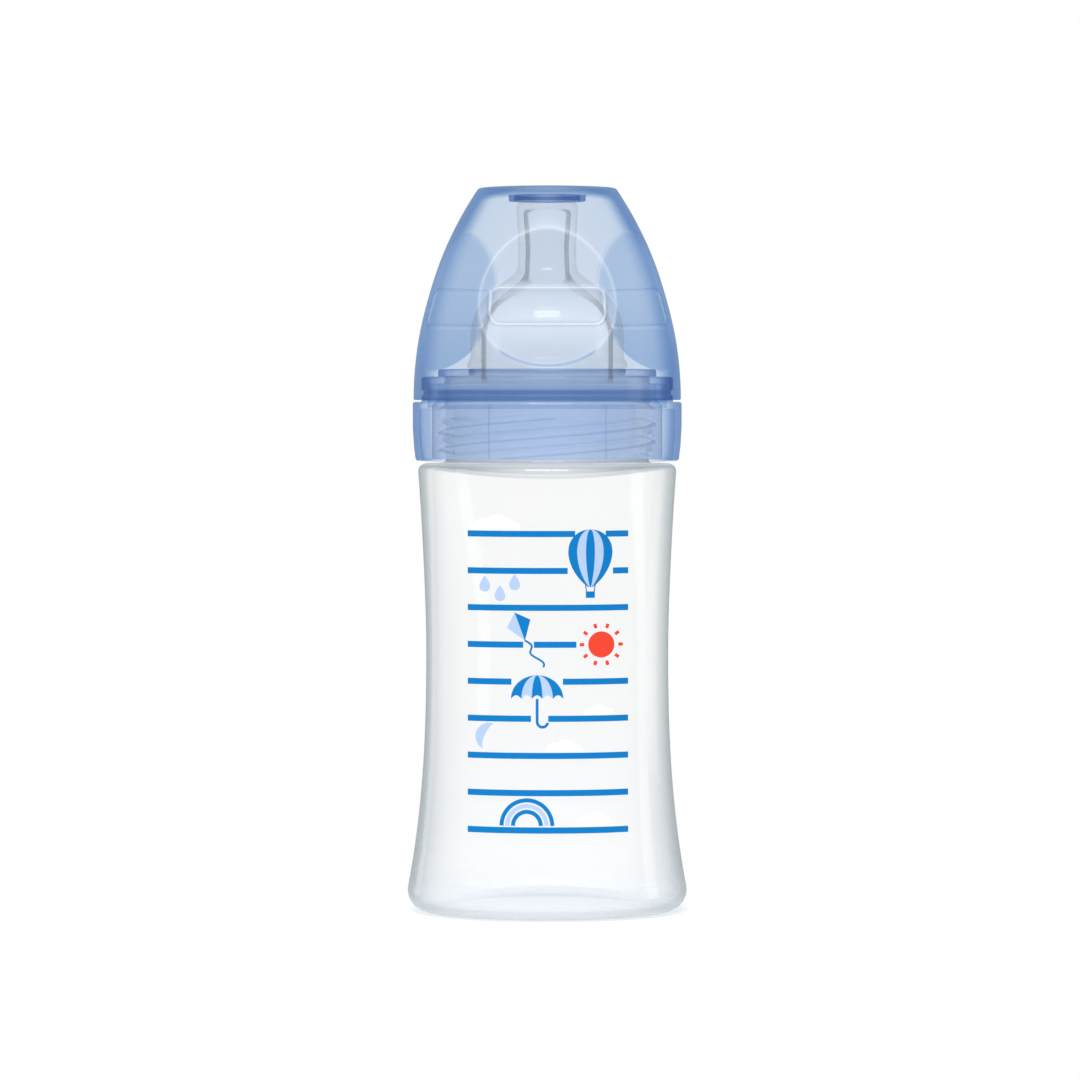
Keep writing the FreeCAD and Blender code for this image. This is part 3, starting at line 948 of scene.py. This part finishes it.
# %% [markdown]
# ## Clear plastics
# Polypropylene and silicone are clear. On a white ground two things draw a clear moulding: each wall takes
# a little of the light that crosses it, and takes more where it turns away from the eye, because the way
# through the wall is longer there and part of the light is bent aside into the dark of the room. Real
# refraction could show this, but a dozen rough walls in a row blur everything behind them. So each wall is
# a thin film: a Transparent shader whose colour goes from a facing tint to an edge tint, as a Layer Weight
# says. A constant absorption fills the plastic between the films. Over that come a faint milky haze, a
# gloss that grows at the edge as Fresnel's law has it, and a white matt scatter: frosted haze in hazy zones,
# and painted highlights along fine moulded ridges and edges.

# %% Clear plastic material
LEVEL_FROM = 0.6
LEVEL_TO = 0.9
MIRROR_FACING = 0.04
MIRROR_EDGE = 0.25
MIRROR_POWER = 5.0
FROST_AND_GLINT_SHARE = 0.30
FROST_AND_GLINT_COLOUR = (0.93, 0.96, 1.0)
CLOUD_NOISE = (90.0, 3.0, 0.55)
GRAIN_NOISE = (1400.0, 2.0, 0.5)
GRAIN_SHARE = 0.04
RIPPLE_HEIGHT = 0.0004
MILK_LEAST = 0.75
MILK_DRIFT = 0.5


def clear_plastic(name, face, edge, inner, inner_edge, edge_range, level_share, absorbed_per_mm, milk,
                  milk_colour, roughness, haze, ripple):
    """Clear moulded plastic: what its walls let through where they face the eye and where they turn away.

    Turning away is t = 1 - |cosine|, and the gloss mirrors a facing share and an edge share times t^5 of
    the room. The tint goes from face to edge, or from inner to inner_edge inside, as t crosses edge_range.
    level_share is how much of that change level walls get. absorbed_per_mm is what a millimetre of plastic
    takes of red, green and blue, as exponents, and milk is the share of light that the haze scatters.
    """
    material, output, place = new_material(name)
    tree = material.node_tree
    outside, ridge, darkening = (
        place.node("ShaderNodeAttribute", {"attribute_name": kept}, output="Fac")
        for kept in ("outside", "ridge", "darkening"))
    clouding = noise(place, *CLOUD_NOISE)
    grain = noise(place, *GRAIN_NOISE)
    normal = place.node("ShaderNodeTexCoord", output="Normal")
    upright = place.node("ShaderNodeSeparateXYZ", output="Z", Vector=normal).math("ABSOLUTE")
    level = s_curve(upright, LEVEL_FROM, LEVEL_TO)
    turned_away = place.node("ShaderNodeLayerWeight", output="Facing")
    # The piece's marked darkening is added to how far the wall turns away, so its edge tint deepens: painted
    # shade.
    grazing = s_curve(turned_away + darkening, *edge_range) * (1.0 - (1.0 - level_share) * level)
    outer_film = blended(grazing, film(place, face), film(place, edge))
    inner_film = blended(grazing, film(place, inner), film(place, inner_edge))
    bump = place.node("ShaderNodeBump", Strength=ripple, Distance=RIPPLE_HEIGHT,
                      Height=clouding + GRAIN_SHARE * grain)
    body = blended(outside, inner_film, outer_film)
    body = blended(milk * (MILK_LEAST + MILK_DRIFT * clouding), body, matt(place, milk_colour, Normal=bump))
    # White matt scatter: frosted haze in hazy zones, a painted highlight along fine edges.
    body = blended(FROST_AND_GLINT_SHARE * ridge, body, matt(place, FROST_AND_GLINT_COLOUR))
    polish = place.node("ShaderNodeBsdfGlossy", Color=WHITE, Roughness=roughness + haze * clouding,
                        Normal=bump)
    gloss = (MIRROR_FACING + MIRROR_EDGE * turned_away**MIRROR_POWER) * outside
    tree.links.new(blended(gloss, body, polish).socket, output.inputs["Surface"])
    taken = np.array(absorbed_per_mm) / MM
    strongest = taken.max()
    absorption = place.node("ShaderNodeVolumeAbsorption", Color=(*(1 - taken / strongest), 1.0),
                            Density=strongest)
    tree.links.new(absorption.socket, output.inputs["Volume"])
    print(f"{name}: takes up to {100 * (1 - np.exp(-strongest * MM)):.1f} % of the light in a millimetre")
    return material


bottle.data.materials.append(clear_plastic(
    "clear_polypropylene", face=(0.999, 0.999, 0.999), edge=(0.68, 0.715, 0.735),
    inner=(0.999, 0.999, 0.999), inner_edge=(0.999, 0.999, 0.999), edge_range=(0.34, 0.94), level_share=0.35,
    absorbed_per_mm=(0.0034, 0.0026, 0.0024), milk=0.010, milk_colour=(0.95, 0.96, 0.96),
    roughness=0.07, haze=0.06, ripple=0.05))
# The silicone's inner edge tint is the painted shade of the inner wall's dark line.
teat.data.materials.append(clear_plastic(
    "clear_silicone", face=(0.998, 0.998, 0.998), edge=(0.97, 0.97, 0.965),
    inner=(0.998, 0.998, 0.998), inner_edge=(0.75, 0.75, 0.745), edge_range=(0.45, 0.55), level_share=0.0,
    absorbed_per_mm=(0.0050, 0.0050, 0.0055), milk=0.004, milk_colour=(0.90, 0.90, 0.90),
    roughness=0.10, haze=0.06, ripple=0.03))
ring.data.materials.append(clear_plastic(
    "pale_blue_polypropylene", face=(0.792, 0.847, 0.931), edge=(0.43, 0.58, 0.79),
    inner=(0.99, 0.993, 0.997), inner_edge=(0.80, 0.86, 0.93), edge_range=(0.40, 0.78), level_share=0.3,
    absorbed_per_mm=(0.0030, 0.0022, 0.0011), milk=0.012, milk_colour=(0.45, 0.58, 0.80),
    roughness=0.10, haze=0.05, ripple=0.03))
cap.data.materials.append(clear_plastic(
    "clear_blue_polypropylene", face=(0.83, 0.88, 0.945), edge=(0.43, 0.585, 0.79),
    inner=(0.985, 0.99, 0.995), inner_edge=(0.95, 0.965, 0.985), edge_range=(0.40, 0.65), level_share=0.9,
    absorbed_per_mm=(0.0200, 0.0145, 0.0077), milk=0.010, milk_colour=(0.55, 0.68, 0.88),
    roughness=0.33, haze=0.06, ripple=0.03))

# %% [markdown]
# ## The print
# Nine stripes and a few sky motifs are printed on the front in four inks. A texture could carry them, but a
# print has a hard edge and a little body, and both are easy as geometry: each patch is a grid of points,
# (across, height), between two lines. A patch is laid on the bottle's wall by asking for which turn the
# wall stands that far across. Its top is 0.03 mm proud of the wall and its underside is sunk into it, so
# every patch is a closed thin slab. Stripes stop short of the motifs that they would cross, as a printer
# leaves a clear margin round them.

# %% Patches of ink
INK_PROUD = 0.03
INK_SUNK = 0.02
TURN_ROUNDS = 12


def on_body(across, height, proud):
    """Points on the wall's front: x = r sin a, where a = arcsin(x / r(z, a)) is found by repeating it."""
    turn = np.zeros_like(across)
    for _ in range(TURN_ROUNDS):
        turn = np.arcsin(across / body_outline(height, turn))
    return carried_round(body_outline(height, turn) + proud, turn, height)


def slab(patch):
    """A closed thin slab over a patch: its top proud of the wall, its underside sunk, and a border."""
    across, height = patch
    points = np.concatenate([on_body(across, height, INK_PROUD), on_body(across, height, -INK_SUNK)])
    index = np.arange(across.size).reshape(across.shape)
    quads = np.stack([index[:-1, :-1], index[:-1, 1:], index[1:, 1:], index[1:, :-1]], axis=-1)
    quads = quads.reshape(-1, 4)
    border = np.concatenate([index[0, :-1], index[:-1, -1], index[-1, :0:-1], index[:0:-1, 0]])
    onward = np.roll(border, -1)
    sides = np.stack([onward, border, border + across.size, onward + across.size], axis=-1)
    faces = np.concatenate([quads, quads[:, ::-1] + across.size, sides])
    return points, faces if enclosed_volume(points, [faces]) > 0 else faces[:, ::-1]


def between(first, second, rows=3):
    """A patch between two lines of points, straight from one to the other."""
    share = np.linspace(0, 1, rows)[:, None, None]
    return np.moveaxis((1 - share) * first + share * second, -1, 0)


def ribbon(path, width):
    """A patch of even width along a path: each point moved half the width to either side, square to it."""
    along = np.gradient(path, axis=0)
    side = np.column_stack([-along[:, 1], along[:, 0]]) / np.hypot(*along.T)[:, None] * width / 2
    return between(path - side, path + side, rows=2)


def line(start, end, points=9):
    """Points on a straight line from one place to another."""
    return np.linspace(start, end, points)


def arc(middle, radius, start, end, points=33):
    """Points on a circle, (x + r cos a, z + r sin a), from one angle in degrees to another."""
    angle = np.radians(np.linspace(start, end, points))
    return np.column_stack([middle[0] + radius * np.cos(angle), middle[1] + radius * np.sin(angle)])


def tilted(patch, middle, degrees):
    """A patch turned about a point."""
    across, height = patch[0] - middle[0], patch[1] - middle[1]
    cosine, sine = np.cos(np.radians(degrees)), np.sin(np.radians(degrees))
    return np.stack([middle[0] + cosine * across - sine * height,
                     middle[1] + sine * across + cosine * height])


# %% [markdown]
# ## Motifs
# Every motif is a few formulas. A drop and a balloon are one curve, sin a ((1 - cos a) / 2)^taper, upright
# or upside down. A cloud is the highest of three circles over a flat underside. A crescent lies between a
# half circle and a flatter half ellipse, and an umbrella is cut into gores by half ellipses through its
# top. A curve stops just short of its tips, so that no quad of its patch shrinks to nothing.

# %% Motifs
GORES = np.linspace(-1.0, 1.0, 6)
CLOUD_PUFFS = np.array([(-0.27, 0.23), (0.02, 0.32), (0.29, 0.21)])
CLOUD_REACH = 0.495
PUFF_LEAST = 1e-5
DROP_TURN = (0.25, np.pi - 0.08)
DISC_TURN = 89
CRESCENT_TURN = 88
GORE_TURN = 87
SCALLOP_POWER = 8
KITE_TIP = 0.03
DROP_POINTS = 41
CLOUD_POINTS = 67
HALF_ROUND_POINTS = 45
GORE_POINTS = (7, 25)


def drop(middle, half_width, half_height, taper, part=(-1.0, 1.0)):
    """Between two shares of a drop's half width, sin a ((1 - cos a) / 2)^taper, at height h cos a."""
    angle = np.linspace(*DROP_TURN, DROP_POINTS)
    half = np.sin(angle) * ((1 - np.cos(angle)) / 2) ** taper
    half = half_width * half / half.max()
    height = middle[1] + half_height * np.cos(angle)
    return between(*(np.column_stack([middle[0] + share * half, height]) for share in part))


def cloud(middle, width):
    """From a flat underside up to the highest of three circles, all sized by the cloud's width."""
    across = np.linspace(-CLOUD_REACH, CLOUD_REACH, CLOUD_POINTS)
    place, radius = CLOUD_PUFFS.T
    tops = np.sqrt(np.maximum(radius**2 - (across[:, None] - place) ** 2, PUFF_LEAST)).max(axis=1)
    under = np.column_stack([middle[0] + width * across, np.full(across.shape, middle[1])])
    return between(under, under + np.column_stack([0 * tops, width * tops]))


def disc(middle, radius):
    """Between the lower and the upper half of a circle."""
    angle = np.radians(np.linspace(-DISC_TURN, DISC_TURN, HALF_ROUND_POINTS))
    across, rise = middle[0] + radius * np.sin(angle), radius * np.cos(angle)
    return between(*(np.column_stack([across, middle[1] + side * rise]) for side in (-1, 1)))


def crescent(middle, radius, flatness):
    """Between a half circle and a half ellipse that is flatter, through the same two tips."""
    angle = np.radians(np.linspace(-CRESCENT_TURN, CRESCENT_TURN, HALF_ROUND_POINTS))
    bulge, height = radius * np.cos(angle), middle[1] + radius * np.sin(angle)
    return between(*(np.column_stack([middle[0] - share * bulge, height]) for share in (1, flatness)))


def gore(middle, half_width, height, left, right, scallop):
    """One gore of a canopy: (k w cos a, h sin a) for k from left to right, with a hollow lower edge."""
    share = np.linspace(0, 1, GORE_POINTS[0])[:, None]
    angle = np.radians(np.linspace(0, GORE_TURN, GORE_POINTS[1]))[None, :]
    across = half_width * (left + (right - left) * share) * np.cos(angle)
    rise = height * np.sin(angle) + scallop * np.sin(np.pi * share) * np.cos(angle) ** SCALLOP_POWER
    return np.stack([middle[0] + across, middle[1] + rise])


def half_kite(middle, side, half_width, above, below):
    """Half of a kite: from its spine out to one corner."""
    spine = np.concatenate([line((0.0, above), (0.0, 0.0)), line((0.0, 0.0), (0.0, -below))[1:]])
    reach = half_width * np.minimum(1 - spine[:, 1] / above, 1 + spine[:, 1] / below) + KITE_TIP
    return between(spine + middle, spine + middle + np.column_stack([side * reach, 0 * reach]))


# %% [markdown]
# ## Laying out the print
# The motifs lie between and across the stripes, about as large and as far apart as a printed bottle's are.
# Those that a stripe would cross have an oval of clear wall round them, and the stripes are cut there.

# %% Stripes
STRIPE_ENDS = (-19.5, 19.8)
STRIPE_HEIGHTS = np.linspace(22.2, 94.6, 9)
STRIPE_WIDTH = 1.5
BALLOON = (10.5, 88.5)
SUN = (13.2, 67.45)
UMBRELLA = (-2.5, 54.2)
TAIL_CROSSING = (-4.6, 67.45)
# Each oval of clear wall has its middle, half its width and half its height
MARGINS = (
    (*BALLOON, 6.0, 7.8), (*SUN, 6.1, 6.1), (*TAIL_CROSSING, 1.3, 2.0),
    (UMBRELLA[0], UMBRELLA[1] + 2.6, 6.9, 3.9), (UMBRELLA[0] + 0.6, UMBRELLA[1] - 5.0, 2.1, 3.0),
)


def hidden_spans(height):
    """What the margins hide of a stripe at z: an oval at (u, v) hides u +- p sqrt(1 - ((z - v) / q)^2)."""
    spans = []
    for u, v, p, q in MARGINS:
        if abs(height - v) < q:
            reach = p * np.sqrt(1 - ((height - v) / q) ** 2)
            spans.append((u - reach, u + reach))
    return sorted(spans)


def cut_stripes():
    """The stripes without what the margins hide."""
    pieces = []
    for height in STRIPE_HEIGHTS:
        start = STRIPE_ENDS[0]
        for left, right in [*hidden_spans(height), (STRIPE_ENDS[1], STRIPE_ENDS[1])]:
            if left - start > STRIPE_WIDTH:
                path = line((start, height), (left, height), 2 + int(left - start))
                pieces.append(ribbon(path, STRIPE_WIDTH))
            start = max(start, right)
    return pieces


# %% Layout
BASKET = (10.5, 79.7)
KITE = (-7.0, 72.6)
MOON = (-14.2, 44.9)
RAINBOW = (-5.0, 23.3)
CLOUDS = ((-12.4, 95.6, 11.5), (12.6, 50.3, 7.5), (4.2, 41.3, 9.0), (11.6, 23.2, 9.5))
DROPS = ((-15.3, 82.4), (-11.6, 80.1), (-8.0, 82.8))
BALLOON_SIZE = (5.4, -7.2, 0.30)
DROP_SIZE = (1.3, 2.0, 0.6)
CANOPY_SIZE = (6.4, 5.8)
CANOPY_SCALLOP = 0.9
CROOK_FALL = 5.6
CROOK_R = 1.3
CROOK_ARC = (180, 350)
CROOK_WIDTH = 0.7
BASKET_REACH = 1.1
BASKET_WIDTH = 1.6
ROPE_AT = 0.9
ROPE_RISE = (0.6, 2.8)
ROPE_SPREAD = 1.4
ROPE_WIDTH = 0.25
KITE_SIZE = (3.0, 2.9, 4.4)
KITE_TILT = 20
TAIL_START = (1.5, -4.1)
TAIL_REACH = (4.5, -6.6)
TAIL_WAVE = 0.8
TAIL_WAVES = 1.5
TAIL_POINTS = 41
TAIL_WIDTH = 0.5
MOON_SIZE = (3.4, 0.35)
MOON_TILT = -25
SUN_R = 3.2
RAY_RADII = (4.2, 5.3)
RAY_WIDTH = 0.8
RAY_DEGREES = 36
BOW_RADII = (6.2, 4.8, 3.4)
BOW_WIDTH = 1.0
BOW_ARC = (0, 180)


def every_other_gore(first):
    """Every other gore of the balloon and of the umbrella, starting with the first or the second."""
    parts = list(zip(GORES, GORES[1:]))[first::2]
    return [*(drop(BALLOON, *BALLOON_SIZE, part) for part in parts),
            *(gore(UMBRELLA, *CANOPY_SIZE, *part, CANOPY_SCALLOP) for part in parts)]


def kite_side(side):
    """The left or the right half of the kite, tilted."""
    return tilted(half_kite(KITE, side, *KITE_SIZE), KITE, KITE_TILT)


crook_low = UMBRELLA[1] - CROOK_FALL
crook = np.concatenate([line(UMBRELLA, (UMBRELLA[0], crook_low)),
                        arc((UMBRELLA[0] + CROOK_R, crook_low), CROOK_R, *CROOK_ARC)[1:]])
tail_fall = np.linspace(0, 1, TAIL_POINTS)
tail_wave = TAIL_WAVE * np.sin(2 * np.pi * TAIL_WAVES * tail_fall)
tail = np.column_stack([KITE[0] + TAIL_START[0] + TAIL_REACH[0] * tail_fall + tail_wave,
                        KITE[1] + TAIL_START[1] + TAIL_REACH[1] * tail_fall])
basket = line((BASKET[0] - BASKET_REACH, BASKET[1]), (BASKET[0] + BASKET_REACH, BASKET[1]))
rope_low, rope_high = (BASKET[1] + rise for rise in ROPE_RISE)
ropes = [line((BASKET[0] + side, rope_low), (BASKET[0] + ROPE_SPREAD * side, rope_high))
         for side in (-ROPE_AT, ROPE_AT)]
rays = [line(*(arc(SUN, radius, angle, angle, 1)[0] for radius in RAY_RADII))
        for angle in range(0, 360, RAY_DEGREES)]
outer_bow, middle_bow, inner_bow = (
    ribbon(arc(RAINBOW, radius, *BOW_ARC), BOW_WIDTH) for radius in BOW_RADII)

blue_patches = [
    *cut_stripes(), *every_other_gore(0), ribbon(crook, CROOK_WIDTH), ribbon(basket, BASKET_WIDTH),
    *(ribbon(rope, ROPE_WIDTH) for rope in ropes), ribbon(tail, TAIL_WIDTH), kite_side(1.0), outer_bow,
    inner_bow,
]
pale_patches = [
    *every_other_gore(1), kite_side(-1.0), tilted(crescent(MOON, *MOON_SIZE), MOON, MOON_TILT), middle_bow,
    *(drop(middle, *DROP_SIZE) for middle in DROPS),
]
red_patches = [disc(SUN, SUN_R), *(ribbon(ray, RAY_WIDTH) for ray in rays)]
white_patches = [cloud(middle, width) for *middle, width in CLOUDS]
inks = (blue_patches, pale_patches, red_patches, white_patches)
print("patches of ink:", [len(patches) for patches in inks])

# %% [markdown]
# ## Inks
# Printing ink on polypropylene dries to a soft sheen, and it is never quite even: a squeegee leaves the
# film a little thicker here and thinner there. So each ink is a plain matt paint whose colour and gloss
# drift a little.

# %% Inks
INK_DRIFT = 0.06
INK_SHEEN = 0.12
INK_NOISE = (700.0, 2.0, 0.6)
INK_ROUGHNESS = 0.45
INK_ROUGHNESS_DRIFT = 0.15


def from_srgb(*levels):
    """Levels of 0 to 255 on the sRGB curve, as a screen has them, in the linear numbers of light."""
    share = np.array(levels) / 255
    return tuple(np.where(share <= 0.04045, share / 12.92, ((share + 0.055) / 1.055) ** 2.4))


def ink(name, colour):
    """Paint whose colour drifts by a few per cent with a fine noise, and whose gloss drifts with it."""
    material, output, place = new_material(name)
    drift = noise(place, *INK_NOISE)
    paler = tuple(min(1.0, level * (1 + INK_DRIFT)) for level in colour)
    deeper = tuple(level * (1 - INK_DRIFT) for level in colour)
    colours = place.node("ShaderNodeMix", {"data_type": "RGBA"}, output="Result_Color", Factor_Float=drift,
                         A_Color=(*deeper, 1.0), B_Color=(*paler, 1.0))
    paint = place.node("ShaderNodeBsdfPrincipled", Base_Color=colours, Specular_IOR_Level=INK_SHEEN,
                       Roughness=INK_ROUGHNESS + INK_ROUGHNESS_DRIFT * drift)
    material.node_tree.links.new(paint.socket, output.inputs["Surface"])
    return material


def printed(name, patches, material):
    """All the patches of one ink as one piece on the bottle."""
    slabs = [slab(patch) for patch in patches]
    starts = np.cumsum([0] + [len(points) for points, _ in slabs])
    faces = np.concatenate([faces + start for (_, faces), start in zip(slabs, starts)])
    piece = mesh_from_faces(name, np.concatenate([points for points, _ in slabs]), [faces])
    piece.data.shade_flat()
    piece.data.materials.append(material)
    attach(piece, "bottle")
    print(f"{name}: {len(patches)} patches, {len(faces)} faces")


printed("blue_print", blue_patches, ink("blue_ink", from_srgb(1, 118, 189)))
printed("pale_blue_print", pale_patches, ink("pale_blue_ink", from_srgb(173, 195, 229)))
printed("red_print", red_patches, ink("red_ink", from_srgb(228, 67, 46)))
printed("white_print", white_patches, ink("white_ink", from_srgb(252, 252, 252)))

# %% [markdown]
# ## Studio
# The photograph is a product shot on white. A pale floor takes the bottle's soft shadow and fades out into
# the white ground. Rays from the camera, and rays that clear walls let through, see a world of plain white.
# The level that lights matt surfaces and the darker level that gloss mirrors are set apart from it. Two
# tall soft boxes draw the upright highlights.

# %% World
AMBIENT = 0.86
MIRRORED = 0.40
world = bpy.data.worlds.new("white_ground")
bpy.context.scene.world = world
world.use_nodes = True
world_tree = world.node_tree
world_tree.nodes.clear()
ray = world_tree.nodes.new("ShaderNodeLightPath")
matt_bounce = Value(world_tree, ray.outputs["Diffuse Depth"]).math("MINIMUM", 1.0)
let_through = Value(world_tree, ray.outputs["Is Transmission Ray"])
mirrored = Value(world_tree, ray.outputs["Is Glossy Ray"]) * (1.0 - let_through) * (1.0 - matt_bounce)
strength = 1.0 - (1.0 - AMBIENT) * matt_bounce - (1.0 - MIRRORED) * mirrored
background = strength.node("ShaderNodeBackground", Color=WHITE, Strength=strength)
world_output = world_tree.nodes.new("ShaderNodeOutputWorld")
world_tree.links.new(background.socket, world_output.inputs["Surface"])
print(f"white ground, {AMBIENT} as bright on matt surfaces and {MIRRORED} in gloss")

# %% Floor
FLOOR_R = 0.20
FLOOR_FADE = (0.030, 0.060)
FLOOR_GAP = 0.3
FLOOR_CLEAR = 0.25
FLOOR_COLOUR = (0.94, 0.94, 0.94)
FLOOR_RINGS = 24
FLOOR_COLUMNS = 96


def make_floor():
    """A flat disc just under the foot: rings of points at growing radii, with a fan in the middle."""
    ring_r = np.linspace(0, FLOOR_R / MM, FLOOR_RINGS + 1)[1:, None]
    height = np.full((FLOOR_RINGS, FLOOR_COLUMNS), -FLOOR_GAP)
    points = carried_round(ring_r, around(FLOOR_COLUMNS), height)
    index = np.arange(len(points)).reshape(height.shape)
    faces = [band(index[1:], index[:-1]), fan(len(points), index[0])]
    return mesh_from_faces("studio_floor", np.concatenate([points, [[0.0, 0.0, -FLOOR_GAP]]]), faces)


floor = make_floor()
floor_material, floor_output, floor_place = new_material("pale_floor")
from_middle = floor_place.node("ShaderNodeVectorMath", {"operation": "LENGTH"}, output="Value",
                               in_0=floor_place)
clear_share = FLOOR_CLEAR + (1.0 - FLOOR_CLEAR) * s_curve(from_middle, *FLOOR_FADE)
faded = blended(clear_share, matt(floor_place, FLOOR_COLOUR), film(floor_place, WHITE[:3]))
floor_material.node_tree.links.new(faded.socket, floor_output.inputs["Surface"])
floor.data.materials.append(floor_material)
print(f"floor: {len(floor.data.polygons)} faces, clear beyond {FLOOR_FADE[1]} m")

# %% Lamps
MIDDLE = (0.0, 0.0, 0.09)
BOUNCES = 32
FILM_CROSSINGS = 96


def soft_box(name, place, width, height, power):
    """A rectangular lamp at a place, in metres, turned to face the bottle's middle."""
    lamp = bpy.data.lights.new(name, "AREA")
    lamp.shape = "RECTANGLE"
    lamp.size = width
    lamp.size_y = height
    lamp.energy = power
    box = bpy.data.objects.new(name, lamp)
    box.location = place
    away = np.array(place) - np.array(MIDDLE)
    across = np.hypot(away[0], away[1])
    box.rotation_euler = (np.arctan2(across, away[2]), 0.0, np.arctan2(away[1], away[0]) + np.pi / 2)
    box.visible_camera = False
    box.visible_transmission = False
    bpy.context.scene.collection.objects.link(box)
    return box


right_strip = soft_box("right_strip", (0.75, -0.05, 0.20), width=0.20, height=0.60, power=0.55)
left_strip = soft_box("left_strip", (-0.55, 0.45, 0.20), width=0.16, height=0.60, power=0.40)
top_box = soft_box("top_box", (0.0, -0.85, 0.95), width=0.70, height=0.40, power=7.0)
front_key = soft_box("front_key", (-0.55, -1.00, 0.75), width=0.70, height=0.50, power=3.0)
right_strip.visible_diffuse = False
left_strip.visible_diffuse = False
front_key.visible_glossy = False
bpy.context.scene.view_settings.view_transform = "Standard"
bpy.context.scene.cycles.max_bounces = BOUNCES
bpy.context.scene.cycles.transmission_bounces = BOUNCES
bpy.context.scene.cycles.transparent_max_bounces = FILM_CROSSINGS
print("lamps:", [lamp.name for lamp in (right_strip, left_strip, top_box, front_key)])
